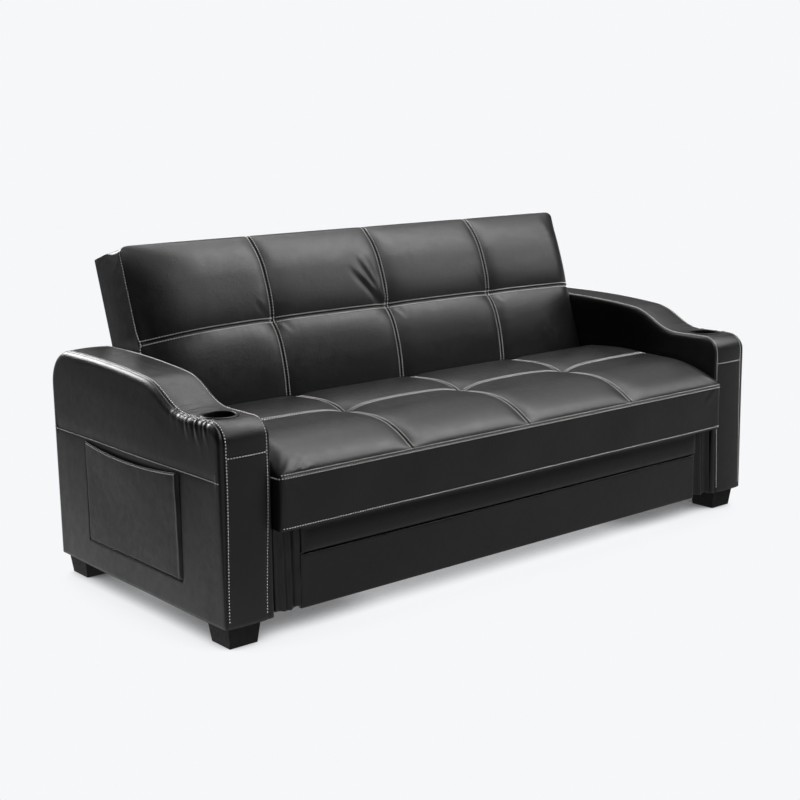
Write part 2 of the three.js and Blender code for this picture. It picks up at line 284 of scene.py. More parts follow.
def tidy_mesh(piece):
    """Joins points that meet and turns all faces outward."""
    work = bmesh.new()
    work.from_mesh(piece.data)
    bmesh.ops.remove_doubles(work, verts=work.verts, dist=MERGE_DISTANCE)
    bmesh.ops.dissolve_degenerate(work, dist=1e-7, edges=work.edges)
    bmesh.ops.recalc_face_normals(work, faces=work.faces)
    work.to_mesh(piece.data)
    work.free()
    piece.data.polygons.foreach_set("use_smooth", [True] * len(piece.data.polygons))


def positions(piece):
    out = np.empty(len(piece.data.vertices) * 3, np.float32)
    piece.data.vertices.foreach_get("co", out)
    return out.reshape(-1, 3).astype(float)


def set_positions(piece, points):
    piece.data.vertices.foreach_set("co", np.ascontiguousarray(points, np.float32).ravel())
    piece.data.update()


def subdivide(piece):
    modifier = piece.modifiers.new("Subdivision", "SUBSURF")
    modifier.levels = 1
    modifier.render_levels = 1


def thicken(piece, thickness, offset=0):
    """Gives a surface a thickness: half to each side, or all of it inward with an offset of -1."""
    modifier = piece.modifiers.new("Thickness", "SOLIDIFY")
    modifier.thickness = thickness
    modifier.offset = offset


def stand_for(node, piece, body):
    """Lets a piece stand for a CAD node: puts it on the node's body and hides the node."""
    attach(piece, body)
    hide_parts(node)


def surface_of(piece):
    """A search tree of the piece's final surface."""
    evaluated = piece.evaluated_get(bpy.context.evaluated_depsgraph_get())
    mesh = evaluated.to_mesh()
    tree = BVHTree.FromPolygons([v.co.copy() for v in mesh.vertices], [p.vertices[:] for p in mesh.polygons])
    evaluated.to_mesh_clear()
    return tree


def inflate(piece, free):
    """Puffs the free points of a padded skin out by cloth simulation, each by no more than SWELL."""
    rest = positions(piece)
    group = piece.vertex_groups.new(name="sewn")
    for index, weight in enumerate(1 - free):
        if weight > 0:
            group.add([index], float(weight), "REPLACE")
    modifier = piece.modifiers.new("Cloth", "CLOTH")
    settings = modifier.settings
    settings.quality = 5
    settings.mass = 0.4
    settings.tension_stiffness = 25
    settings.compression_stiffness = 25
    settings.shear_stiffness = 8
    settings.bending_stiffness = 1.2
    settings.vertex_group_mass = group.name
    settings.use_pressure = True
    settings.uniform_pressure_force = AIR_PRESSURE
    settings.shrink_min = -SWELL
    settings.effector_weights.gravity = 0
    modifier.point_cache.frame_start = 1
    modifier.point_cache.frame_end = SIMULATED_FRAMES
    scene = bpy.context.scene
    for number in range(1, SIMULATED_FRAMES + 1):
        scene.frame_set(number)
    evaluated = piece.evaluated_get(bpy.context.evaluated_depsgraph_get())
    out = np.empty(len(evaluated.data.vertices) * 3, np.float32)
    evaluated.data.vertices.foreach_get("co", out)
    moved = out.reshape(-1, 3).astype(float) - rest
    piece.modifiers.remove(modifier)
    piece.vertex_groups.remove(group)
    scene.frame_set(1)
    length = np.linalg.norm(moved, axis=1, keepdims=True)
    limited = SWELL * np.tanh(length / SWELL)
    set_positions(piece, rest + moved * limited / np.maximum(length, 1e-9))


# ---- stitching ----------------------------------------------------------------------------------------
STITCH_SIDES = 5
STITCH_RINGS = (  # place along a stitch as a share of its length, thickness and lift in thread radii
    (-0.5, 0.45, -0.55), (-0.30, 1.0, 0.35), (0.0, 1.05, 0.55), (0.30, 1.0, 0.35), (0.5, 0.45, -0.55),
)
DROP_FROM = 0.04  # how far outside the surface a stitch is dropped from, and how far it may fall
DROP_REACH = 0.12


def stitch_points(line, surface):
    """Even steps along a line of (point, way out) pairs, each dropped onto the surface from outside."""
    line = np.array([(*point, *way) for point, way in line], float)
    lengths = np.linalg.norm(np.diff(line[:, :3], axis=0), axis=1)
    along = np.concatenate([[0], np.cumsum(lengths)])
    steps = np.linspace(0, along[-1], max(2, int(along[-1] / STITCH_PITCH) + 1))
    dense = np.stack([np.interp(steps, along, line[:, axis]) for axis in range(6)], axis=1)
    laid = []
    for values in dense:
        point, way = Vector(values[:3]), Vector(values[3:]).normalized()
        found, normal, _, _ = surface.ray_cast(point + way * DROP_FROM, -way, DROP_REACH)
        if found is not None:
            laid.append((found, normal if normal.dot(way) > 0 else -normal))
    return laid


def stitches(name, lines, surface, body):
    """Rows of short thread loops that dip into the leather at both ends."""
    points, faces = [], []
    for line in lines:
        laid = stitch_points(line, surface)
        for (a, normal_a), (b, normal_b) in zip(laid, laid[1:]):
            run = b - a
            if not 1e-5 < run.length < 4 * STITCH_PITCH:
                continue
            ahead = run.normalized()
            out = (normal_a + normal_b).normalized()
            across = ahead.cross(out).normalized()
            out = across.cross(ahead)
            middle = (a + b) / 2
            first = len(points)
            for along, thick, lift in STITCH_RINGS:
                centre = middle + ahead * (along * STITCH_LENGTH) + out * (lift * THREAD_RADIUS)
                for k in range(STITCH_SIDES):
                    turn = 2 * math.pi * k / STITCH_SIDES
                    spoke = across * math.cos(turn) + out * math.sin(turn)
                    points.append(centre + spoke * (THREAD_RADIUS * thick))
            faces += grid_faces(len(STITCH_RINGS), STITCH_SIDES, True, first)
            last = first + (len(STITCH_RINGS) - 1) * STITCH_SIDES
            faces.append(tuple(first + k for k in range(STITCH_SIDES)))
            faces.append(tuple(last + k for k in reversed(range(STITCH_SIDES))))
    piece = new_object(name, points, faces, THREAD)
    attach(piece, body)


# ---- tufted cushions ----------------------------------------------------------------------------------
def grid_normals(points):
    """Unit normals of a grid of points."""
    along_rows = np.gradient(points, axis=0)
    along_columns = np.gradient(points, axis=1)
    normals = np.cross(along_rows, along_columns)
    return normals / np.maximum(np.linalg.norm(normals, axis=2, keepdims=True), 1e-12)


def seam_gap(values, seams):
    """Distance from each value to the nearest seam."""
    return np.min([np.abs(values - seam) for seam in seams], axis=0)


def valley(distance, depth, width):
    """A sewn channel: flat between its two rows of stitches, with a crease along its middle."""
    beyond = np.maximum(distance - SEAM_HALF, 0)
    return depth * np.exp(-beyond / width) + CREASE_DEPTH * np.exp(-((distance / CREASE_WIDTH) ** 2))


def tuft(to_seam, to_row, depth, width):
    """The dimple where two seams cross."""
    flat = 0.004
    away = np.hypot(np.maximum(to_seam - flat, 0), np.maximum(to_row - flat, 0))
    return depth * np.exp(-away / width)


def pull_lines(x, along, lines):
    """Creases that run from a tight point and fade out: pairs of a ridge and a furrow.

    Each line is (x and length along at its start, the same at its end, half width, height).
    """
    total = np.zeros_like(x)
    for x0, s0, x1, s1, width, height in lines:
        run = np.array([x1 - x0, s1 - s0])
        length = np.hypot(*run)
        run = run / length
        t = ((x - x0) * run[0] + (along - s0) * run[1]) / length
        d = (x - x0) * -run[1] + (along - s0) * run[0]
        fade = smooth(0.0, 0.12, t) * (1 - smooth(0.45, 1.0, t))
        total += height * fade * (np.exp(-((d / width) ** 2)) - np.exp(-(((d - 1.7 * width) / width) ** 2)))
    return total


END_RINGS = 9  # of mesh, from the edge of a cushion's end to its spine
END_PUFF = 0.002


def block_skin(name, columns, loops, to_world):
    """A closed skin from one loop of (a, b) points for each column, with both ends closed towards a spine."""
    loops = [np.asarray(loop, float) for loop in loops]
    sections = list(zip(columns, loops))
    for end, sign in ((0, -1), (-1, 1)):
        x, loop = columns[end], loops[end]
        low, high = loop.min(0), loop.max(0)
        centre, half = (low + high) / 2, (high - low) / 2
        long_axis = int(np.argmax(half))
        reach = max(half) - min(half)
        spine = np.tile(centre, (len(loop), 1))
        middle = centre[long_axis]
        spine[:, long_axis] = np.clip(loop[:, long_axis], middle - reach, middle + reach)
        caps = []
        for k in range(1, END_RINGS + 1):
            share = (k / END_RINGS) ** 1.4
            puff = END_PUFF * math.sin(math.pi / 2 * share) * sign
            caps.append((x + puff, loop + (spine - loop) * share))
        sections = list(reversed(caps)) + sections if end == 0 else sections + caps
    flat = np.array([[(x, a, b) for a, b in loop] for x, loop in sections])
    rows, around = flat.shape[:2]
    return new_object(name, to_world(flat.reshape(-1, 3)), grid_faces(rows, around, True), LEATHER)


def arc_lengths(points):
    """Length along a polyline at each of its points."""
    return np.concatenate([[0], np.cumsum(np.linalg.norm(np.diff(points, axis=0), axis=1))])


def along_curve(points, steps):
    """Points at the given lengths along a polyline."""
    lengths = arc_lengths(points)
    return np.stack([np.interp(steps, lengths, points[:, axis]) for axis in range(points.shape[1])], axis=1)


def quarter(fraction):
    """Height of a quarter circle that rises from 0 at fraction 0 to 1 at fraction 1."""
    t = np.clip(1 - np.asarray(fraction, float), 0, 1)
    return np.sqrt(1 - t ** 2)


def cushion_columns(half, rounding):
    """Columns across a cushion, close at its seams and at its rounded ends."""
    middle = spaced(-(half - rounding), half - rounding, STEP, SEAM_X)
    turn = np.linspace(0, math.pi / 2, 9)[1:]
    end = (half - rounding) + rounding * np.sin(turn)
    return np.concatenate([-end[::-1], middle, end])


def seam_distances(columns, steps, row_at):
    """For each point of a cushion's face: x, length along, and the distances to its two kinds of seam."""
    x = np.repeat(columns[:, None], len(steps), 1)
    along = np.repeat(steps[None, :], len(columns), 0)
    return x, along, seam_gap(x, SEAM_X), np.abs(along - row_at)


def fill_out(piece, free, node, body):
    """Finishes a cushion's skin: puffs it out, smooths it and lets it stand for its node."""
    inflate(piece, free.ravel())
    tidy_mesh(piece)
    subdivide(piece)
    stand_for(node, piece, body)


def identity(points):
    """For a piece that is already in the row frame."""
    return points


def back_to_world(points):
    """From the back's own frame (x, y behind its pivot, z up its slope) to the row frame."""
    points = np.asarray(points, float)
    s, c = math.sin(LEAN), math.cos(LEAN)
    y = PIVOT.y + points[:, 2] * s + points[:, 1] * c
    z = PIVOT.z + points[:, 2] * c - points[:, 1] * s
    return np.stack([points[:, 0], y, z], axis=1)


# ---- seat cushion -------------------------------------------------------------------------------------
SEAT_HALF = SEAT_HIGH.x
SEAT_EDGE_Z = SEAT_LOW.z + 0.141  # the seam between the front boxing and the top
SEAT_CROWN_Z = SEAT_HIGH.z
SEAT_ROW_Y = FRONT + 0.262  # the seam that runs across the seat
SEAT_CROWN_END = FRONT + 0.160  # where the rounded front of the top ends
SEAT_FULLNESS = 1.8  # power of the superellipse up to there
SEAT_FLAT_LENGTH = 0.325
SEAT_SWELL = 0.009  # how far the rear half rises above the crown
SEAT_SIDE_ROUNDING = 0.058
SEAT_CORNER = 0.012
SEAT_SEAM_DEPTH, SEAT_SEAM_WIDTH = 0.0070, 0.021
SEAT_SEAM_DIP = 0.004  # how much deeper those seams are at the front
SEAT_ROW_DEPTH, SEAT_ROW_WIDTH = 0.0045, 0.030
SEAT_TUFT_DEPTH, SEAT_TUFT_WIDTH = 0.0180, 0.052
SEAT_EDGE_ROWS = (0.0045, -0.0042)  # the stitches above and below the front edge seam
SEAT_HEM = 0.008  # from the boxing's lower edge to its stitches
SEAT_CREASE_X = SEAT_HALF - 0.012
SEAT_CREASES = (
    (-SEAT_CREASE_X, 0.012, -SEAT_CREASE_X + 0.060, 0.065, 0.006, 0.0030),
    (-SEAT_CREASE_X + 0.030, 0.006, -SEAT_CREASE_X + 0.085, 0.050, 0.005, 0.0036),
    (-SEAT_CREASE_X + 0.060, 0.006, -SEAT_CREASE_X + 0.135, 0.040, 0.005, 0.0022),
    (SEAT_CREASE_X, 0.012, SEAT_CREASE_X - 0.060, 0.055, 0.007, 0.0022),
)
BOXING_CREASES = (
    (-SEAT_CREASE_X + 0.012, 0.004, -SEAT_CREASE_X + 0.075, 0.060, 0.006, 0.0026),
    (-SEAT_CREASE_X + 0.034, 0.004, -SEAT_CREASE_X + 0.120, 0.052, 0.006, 0.0022),
    (SEAT_CREASE_X - 0.012, 0.004, SEAT_CREASE_X - 0.080, 0.060, 0.007, 0.0016),
)
DECK_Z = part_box("seat_deck")[1].z + 0.0008


def seat_top_curve():
    """(y, z) points over the middle of the seat, from the front edge seam to the rear seam."""
    front = SEAT_LOW.y + 0.001
    turn = np.linspace(0, math.pi / 2, 60)
    y = front + (SEAT_CROWN_END - front) * (1 - np.cos(turn) ** (2 / SEAT_FULLNESS))
    z = SEAT_EDGE_Z + (SEAT_CROWN_Z - SEAT_EDGE_Z) * np.sin(turn) ** (2 / SEAT_FULLNESS)
    rise = SEAT_CROWN_END + np.linspace(0.01, SEAT_FLAT_LENGTH, 30)
    rise_z = SEAT_CROWN_Z + SEAT_SWELL * np.sin(math.pi * np.linspace(0.03, 0.9, 30)) ** 1.5
    turn = np.linspace(0, math.pi / 2, 9)[1:]
    radius = SEAT_HIGH.y - rise[-1]
    rear = rise[-1] + radius * np.sin(turn)
    rear_z = rise_z[-1] - radius * (1 - np.cos(turn))
    return np.stack([np.concatenate([y, rise, rear]), np.concatenate([z, rise_z, rear_z])], axis=1)


def seat_loops(columns, boxing, top):
    """One closed (y, z) loop round the seat for each column: boxing, top, rear, underside and lip."""
    side = quarter((SEAT_HALF - np.abs(columns)) / SEAT_SIDE_ROUNDING)
    rear_z = np.linspace(top[-1, 1], DECK_Z, 8)[1:]
    under_y = np.linspace(SEAT_HIGH.y, FRONT, 20)[1:]
    lip = np.linspace(SEAT_LOW.y + 0.006, FRONT - 0.003, 3)
    loops = []
    for share in side:
        high = SEAT_EDGE_Z + (top[:, 1] - SEAT_EDGE_Z) * np.where(top[:, 1] > SEAT_EDGE_Z, share, 1)
        loop = [(SEAT_LOW.y, z) for z in boxing]
        loop += list(zip(top[:, 0], high))
        loop += [(SEAT_HIGH.y, z) for z in rear_z if z < SEAT_EDGE_Z]
        loop += [(y, DECK_Z) for y in under_y]
        loop += [(FRONT - 0.001, SEAT_LOW.z + 0.002)]
        loop += [(y, SEAT_LOW.z) for y in lip[::-1]]
        loops.append(loop)
    return np.array([[(x, y, z) for y, z in loop] for x, loop in zip(columns, loops)])


def shape_boxing(grid, columns, boxing):
    """Turns the seat's front corners, and gives the boxing a slight sway and its creases."""
    turned = 1 - np.minimum((SEAT_HALF - np.abs(columns)) / SEAT_CORNER, 1)
    retreat = SEAT_CORNER * (1 - np.sqrt(1 - turned ** 2))
    grid[..., 1] += retreat[:, None] * (1 - smooth(SEAT_LOW.y, SEAT_LOW.y + 0.05, grid[..., 1]))
    count = len(boxing)
    sway = 0.0015 * np.sin(columns * 9.0) + 0.0010 * np.sin(columns * 23.0 + 1.0)
    waist = np.sin(math.pi * np.linspace(0, 1, count))
    grid[:, :count, 1] += (sway[:, None] - 0.0010) * waist[None, :]
    x = np.repeat(columns[:, None], count, 1)
    down = np.repeat((SEAT_EDGE_Z - boxing)[None, :], len(columns), 0)
    grid[:, :count, 1] -= pull_lines(x, down, BOXING_CREASES)
    return waist


def seat_stitch_lines(top, steps, row_at):
    """Every row of stitches on the seat, as (point, way out) pairs."""
    lines = []
    shown = [k for k, s in enumerate(steps) if 0.012 < s < row_at + 0.26]
    for seam in SEAM_X:
        for offset in (-SEAM_HALF, SEAM_HALF):
            lines.append([((seam + offset, top[k, 0], top[k, 1]), (0, -0.4, 1)) for k in shown
                          if abs(steps[k] - row_at) > SEAM_HALF * 0.8])
    row_x = np.linspace(-SEAT_HALF + 0.03, SEAT_HALF - 0.03, 150)
    for offset in (-SEAM_HALF, SEAM_HALF):
        y, z = along_curve(top, [row_at + offset])[0]
        lines.append([((x, y, z), (0, 0, 1)) for x in row_x])
    edge_x = np.linspace(-SEAT_HALF + 0.004, SEAT_HALF - 0.004, 150)
    above, below = SEAT_EDGE_ROWS
    y, z = along_curve(top, [above])[0]
    lines.append([((x, y, z), (0, -1, 0.3)) for x in edge_x])
    for z in (SEAT_EDGE_Z + below, SEAT_LOW.z + SEAT_HEM):
        lines.append([((x, SEAT_LOW.y, z), (0, -1, 0)) for x in edge_x])
    side_y = np.linspace(SEAT_LOW.y + 0.003, FRONT + 0.45, 60)
    for sign in (-1, 1):
        lines.append([((sign * SEAT_HALF, y, SEAT_EDGE_Z - 0.005), (sign, 0, 0)) for y in side_y])
    return lines


def make_seat():
    """The tufted seat: panels over the top, a plain boxing down the front and a lip under it."""
    curve = seat_top_curve()
    lengths = arc_lengths(curve)
    row_at = float(np.interp(SEAT_ROW_Y, curve[:, 0], lengths))
    steps = spaced(0, lengths[-1], STEP, (SEAM_HALF, row_at))
    top = along_curve(curve, steps)
    below = SEAT_EDGE_ROWS[1]
    boxing = spaced(SEAT_LOW.z, SEAT_EDGE_Z, 0.009, (SEAT_EDGE_Z + below,), (-0.004, 0.0, 0.003))[:-1]
    columns = cushion_columns(SEAT_HALF, SEAT_SIDE_ROUNDING)
    grid = seat_loops(columns, boxing, top)

    first, last = len(boxing), len(boxing) + len(top)
    normals = grid_normals(grid[:, first:last])
    x, along, to_seam, to_row = seam_distances(columns, steps, row_at)
    seam_depth = SEAT_SEAM_DEPTH + SEAT_SEAM_DIP * np.exp(-(((along - 0.06) / 0.05) ** 2))
    depth = valley(to_seam, seam_depth * smooth(0.0, 0.03, along), SEAT_SEAM_WIDTH)
    depth += valley(to_row, SEAT_ROW_DEPTH, SEAT_ROW_WIDTH) * smooth(0, 0.05, SEAT_HALF - np.abs(x))
    depth += tuft(to_seam, to_row, SEAT_TUFT_DEPTH, SEAT_TUFT_WIDTH)
    depth -= pull_lines(x, along, SEAT_CREASES)
    depth += 0.0015 * np.exp(-((along / 0.004) ** 2))
    grid[:, first:last] -= normals * depth[..., None]
    waist = shape_boxing(grid, columns, boxing)

    piece = block_skin("seat_cushion_skin", columns, grid[..., 1:], identity)
    free = np.zeros((len(columns) + 2 * END_RINGS, grid.shape[1]))
    loose = smooth(0.008, 0.035, np.minimum(to_seam, to_row)) * smooth(0.005, 0.04, along)
    loose *= smooth(0.0, 0.03, SEAT_HALF - np.abs(x)) * smooth(0.0, 0.05, lengths[-1] - along)
    free[END_RINGS:-END_RINGS, first:last] = loose
    edge = smooth(0.0, 0.04, SEAT_HALF - np.abs(columns))
    free[END_RINGS:-END_RINGS, :first] = 0.25 * waist * edge[:, None]
    fill_out(piece, free, "seat_cushion", "carriage")
    stitches("seat_stitching", seat_stitch_lines(top, steps, row_at), surface_of(piece), "carriage")


# ---- back cushion -------------------------------------------------------------------------------------
BACK_HALF = 0.8590
BACK_BOTTOM, BACK_TOP = -0.043, 0.5405
BACK_EDGE_Y = -0.030  # the seam between the front panels and the boxing, in the back's own frame
BACK_FLAT = (0.150, 0.415)  # heights between which the front stands out by its whole crown
BACK_CROWN = 0.079
BACK_RECEDE = 0.014  # how far the lower panels lean back towards the seat
BACK_TIP = 0.024  # and the upper panels towards the top
BACK_HEM_Y = 0.1284
BACK_ROW_Z = 0.2726
BACK_UPPER_ROUNDING = (0.215, 0.105)  # how far the panels take to rise from the left and right ends
BACK_LOWER_ROUNDING = (0.215, 0.250)
BACK_ROW_DROOP = (0.014, 0.006)  # how far the cross seam sinks at the left and right ends
BACK_CORNER = 0.030
BACK_HEM = 0.021  # width of the boxing's turned edge round the rear cover
BACK_REAR_Y = 0.1150  # the skin where the rear cover hides it
BACK_SEAM_DEPTH, BACK_SEAM_WIDTH = 0.0085, 0.020
BACK_ROW_DEPTH = 0.0150
BACK_ROW_WIDTHS = (0.034, 0.055)  # below and above the cross seam
BACK_TUFT_DEPTH, BACK_TUFT_WIDTH = 0.0110, 0.045
BACK_CREASES = (  # x and height above the cross seam at the start, the same at the end, half width, height
    (-0.008, 0.006, -0.130, 0.150, 0.0085, 0.0070),
    (-0.006, 0.008, -0.092, 0.185, 0.0072, 0.0068),
    (-0.004, 0.012, -0.050, 0.190, 0.0060, 0.0040),
    (-0.440, 0.008, -0.495, 0.085, 0.0070, 0.0018),
    (0.425, 0.008, 0.390, 0.090, 0.0070, 0.0018),
    (-0.425, -0.008, -0.385, -0.060, 0.0065, 0.0018),
    (0.012, -0.008, 0.050, -0.060, 0.0065, 0.0020),
    (0.450, -0.008, 0.490, -0.055, 0.0065, 0.0018),
)


def back_front_curve():
    """(y, z) points up the middle of the back's front, in its own frame."""
    turn = np.linspace(0, math.pi / 2, 40)
    low, high = BACK_FLAT
    z = np.concatenate([low - (low - BACK_BOTTOM) * np.cos(turn), np.linspace(low, high, 40)[1:-1],
                        high + (BACK_TOP - high) * np.sin(turn)])
    rise = np.concatenate([np.sin(turn), np.ones(38), np.cos(turn)])
    slope = BACK_RECEDE * (1 - smooth(0.02, 0.25, z)) * rise
    slope += BACK_TIP * np.clip((z - 0.28) / (BACK_TOP - 0.28), 0, 1) ** 1.2 * rise
    return np.stack([BACK_EDGE_Y - BACK_CROWN * rise + slope, z], axis=1)


def row_droop(x):
    """How far the seam across the back hangs below its middle height."""
    left, right = BACK_ROW_DROOP
    return np.where(x < 0, left, right) * np.clip((np.abs(x) - 0.40) / (BACK_HALF - 0.40), 0, 1) ** 1.5


def end_rise(columns, ends):
    """How far the panels have risen at each column, from 0 at either end to 1."""
    rounding = np.where(columns < 0, *ends)
    return 1 - (1 - np.clip((BACK_HALF - np.abs(columns)) / rounding, 0, 1)) ** 2


def back_loops(columns, front):
    """One closed (y, z) loop round the back for each column: front, top, rear and underside."""
    ends = [end_rise(columns, rounding) for rounding in (BACK_UPPER_ROUNDING, BACK_LOWER_ROUNDING)]
    upper = smooth(BACK_ROW_Z - 0.16, BACK_ROW_Z + 0.01, front[:, 1])
    top_y = np.linspace(BACK_EDGE_Y, BACK_HEM_Y, 15)[1:]
    hem_z = np.linspace(BACK_TOP, BACK_TOP - 0.020, 4)[1:]
    rear_z = np.concatenate([hem_z, np.linspace(BACK_TOP - 0.0205, BACK_BOTTOM, 26)])
    under_y = np.linspace(BACK_HEM_Y, BACK_EDGE_Y, 12)[1:-1]
    loops = []
    for x, upper_share, lower_share in zip(columns, *ends):
        share = lower_share + (upper_share - lower_share) * upper
        y = BACK_EDGE_Y + (front[:, 0] - BACK_EDGE_Y) * share
        corner = max(0.0, 1 - max(0.0, (BACK_HALF - abs(x)) / BACK_CORNER))
        droop = BACK_CORNER * 0.6 * (1 - math.sqrt(1 - corner ** 2))
        z = front[:, 1] - droop * smooth(BACK_TOP - 0.15, BACK_TOP, front[:, 1])
        z = z - row_droop(x) * np.exp(-(((front[:, 1] - BACK_ROW_Z) / 0.13) ** 2))
        loop = list(zip(y, z))
        loop += [(y, BACK_TOP - droop * (1 - smooth(0.0, 0.06, y)) - 0.0008 * math.sin(math.pi * k / 14))
                 for k, y in enumerate(top_y)]
        at_hem = abs(x) > BACK_HALF - BACK_HEM
        loop += [(BACK_HEM_Y if at_hem or k < len(hem_z) else BACK_REAR_Y, z) for k, z in enumerate(rear_z)]
        loop += [(y, BACK_BOTTOM) for y in under_y]
        loops.append(loop)
    return np.array([[(x, y, z) for y, z in loop] for x, loop in zip(columns, loops)])


def puckers(distance, place, height, reach, wave, drift, slow_wave):
    """Small gathers of the leather on both sides of a seam, in an uneven wave along it."""
    ripple = np.sin(place * wave + drift * np.sin(place * slow_wave)) * np.exp(-distance / reach)
    return height * ripple * smooth(SEAM_HALF, SEAM_HALF + 0.004, distance)


def on_back(point, way):
    """A (point, way out) pair of the back's own frame in the row frame."""
    origin, end = back_to_world([(0, 0, 0), way])
    return tuple(back_to_world([point])[0]), tuple(end - origin)


def back_stitch_lines(columns, front, steps, row_at):
    """Every row of stitches on the back, as (point, way out) pairs."""
    lines = []
    shown = [k for k, s in enumerate(steps) if s > 0.07 and steps[-1] - s > 0.004]
    for seam in SEAM_X:
        for offset in (-SEAM_HALF, SEAM_HALF):
            lines.append([on_back((seam + offset, *front[k]), (0, -1, 0.35)) for k in shown
                          if abs(steps[k] - row_at) > SEAM_HALF * 0.8])
    rise = end_rise(columns, BACK_UPPER_ROUNDING)
    row_x = np.linspace(-BACK_HALF + 0.003, BACK_HALF - 0.003, 170)
    for offset in (-SEAM_HALF, SEAM_HALF):
        lines.append([on_back((x, BACK_EDGE_Y - BACK_CROWN * float(np.interp(x, columns, rise)),
                               BACK_ROW_Z + offset - float(row_droop(x))), (0, -1, 0)) for x in row_x])
    edge_y = BACK_EDGE_Y + 0.004
    for sign in (-1, 1):
        lines.append([on_back((sign * BACK_HALF, edge_y, z), (sign, 0, 0))
                      for z in np.linspace(0.02, BACK_TOP - 0.004, 70)])
    lines.append([on_back((x, edge_y, BACK_TOP), (0, 0, 1))
                  for x in np.linspace(-BACK_HALF + 0.004, BACK_HALF - 0.004, 150)])
    return lines


def make_back():
    """The tufted back: eight panels over the front, and a plain boxing round the top and sides."""
    curve = back_front_curve()
    lengths = arc_lengths(curve)
    row_at = float(np.interp(BACK_ROW_Z, curve[:, 1], lengths))
    steps = spaced(0, lengths[-1], STEP, (row_at,))
    front = along_curve(curve, steps)
    columns = cushion_columns(BACK_HALF, 0.020)
    grid = back_loops(columns, front)

    last = len(front)
    normals = grid_normals(grid[:, :last])
    x, along, to_seam, to_row = seam_distances(columns, steps, row_at)
    inside = smooth(0, 0.03, BACK_HALF - np.abs(x))
    depth = valley(to_seam, BACK_SEAM_DEPTH * smooth(0.0, 0.05, lengths[-1] - along), BACK_SEAM_WIDTH)
    below, above = BACK_ROW_WIDTHS
    depth += valley(to_row, BACK_ROW_DEPTH, np.where(along > row_at, above, below)) * (0.5 + 0.5 * inside)
    depth += tuft(to_seam, to_row, BACK_TUFT_DEPTH, BACK_TUFT_WIDTH)
    depth -= pull_lines(x, along - row_at, BACK_CREASES)
    depth -= puckers(to_row, x, 0.0008, 0.018, 260.0, 1.4, 41.0)
    depth -= puckers(to_seam, along, 0.0006, 0.015, 210.0, 1.8, 37.0)
    grid[:, :last] -= normals * depth[..., None]

    piece = block_skin("back_cushion_skin", columns, grid[..., 1:], back_to_world)
    free = np.zeros((len(columns) + 2 * END_RINGS, grid.shape[1]))
    loose = smooth(0.008, 0.035, np.minimum(to_seam, to_row))
    loose *= smooth(0.01, 0.05, BACK_HALF - np.abs(x)) * smooth(0.06, 0.12, along)
    free[END_RINGS:-END_RINGS, :last] = loose * smooth(0.0, 0.04, lengths[-1] - along)
    fill_out(piece, free, "back_cushion", "back")
    lines = back_stitch_lines(columns, front, steps, row_at)
    stitches("back_stitching", lines, surface_of(piece), "back")


# ---- arms ---------------------------------------------------------------------------------------------
ARM_FRONT_CORNER = 0.050
ARM_REAR_CORNER = 0.105
ARM_SIDE_SEAM_Z = 0.439
ARM_FRONT_SEAM_Z = 0.500
ROLL = 0.020  # how far the rounded roll beside a top seam reaches down the side
OUTER_ROLL_WIDTH, OUTER_ROLL_LOW = 0.013, 0.005  # its width on the strip, at the top and at the floor
INNER_ROLL_WIDTH, INNER_ROLL_LOW = 0.006, 0.020
ROLL_SINK = 0.0012  # how far the roll's highest point lies under the line over the arm
FRONT_TIGHTNESS = 0.5  # how square the rolls are up the front of an arm, from 0, round
GATHERS = (  # along the top seam from the front corner, reach down the side, height
    (0.076, 0.020, 0.0016), (0.098, 0.034, 0.0046), (0.116, 0.026, 0.0022), (0.139, 0.040, 0.0052),
    (0.166, 0.024, 0.0022), (0.184, 0.033, 0.0036), (0.218, 0.020, 0.0014), (0.246, 0.022, 0.0012),
)
GATHERED = (0.050, 0.280)  # the part of the top seam, from the front corner, that they are in
SIDE_GATHERS = 0.7  # their height on the side, as a share of that along the seam
POCKET_LOW, POCKET_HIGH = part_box("left_side_pocket")
CUP_LOW, CUP_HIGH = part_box("left_cup_holder")
CUP_CENTRE = (CUP_LOW + CUP_HIGH) / 2
CUP_RING = (CUP_HIGH.x - CUP_LOW.x) / 2
CUP_HOLE = CUP_RING - 0.0050
POCKET_SAG = 0.015
POCKET_MOUTH = 0.0062  # how far the middle of its hem stands open
LEVEL_END = 0.165  # where an arm's level front part ends, from its front face
RISE_END = (0.365, 0.649)
LEVEL_Z = CUP_HIGH.z - 0.005
PIN_CLEARANCE = 0.0006  # how far an inner face is drawn in, so that the hinge pins slide past it


def bezier(points, count):
    """Points on a Bezier curve, without its first one."""
    t = np.linspace(0, 1, count + 1)[1:, None]
    degree = len(points) - 1
    return sum(math.comb(degree, k) * t ** k * (1 - t) ** (degree - k) * np.array(p)
               for k, p in enumerate(points))


def corner_arc(centre, radius, start, end, count):
    """Points on an arc between two angles in degrees, without its first one."""
    turn = np.radians(np.linspace(start, end, count + 1)[1:])
    return np.stack([centre[0] + radius * np.cos(turn), centre[1] + radius * np.sin(turn)], axis=1)


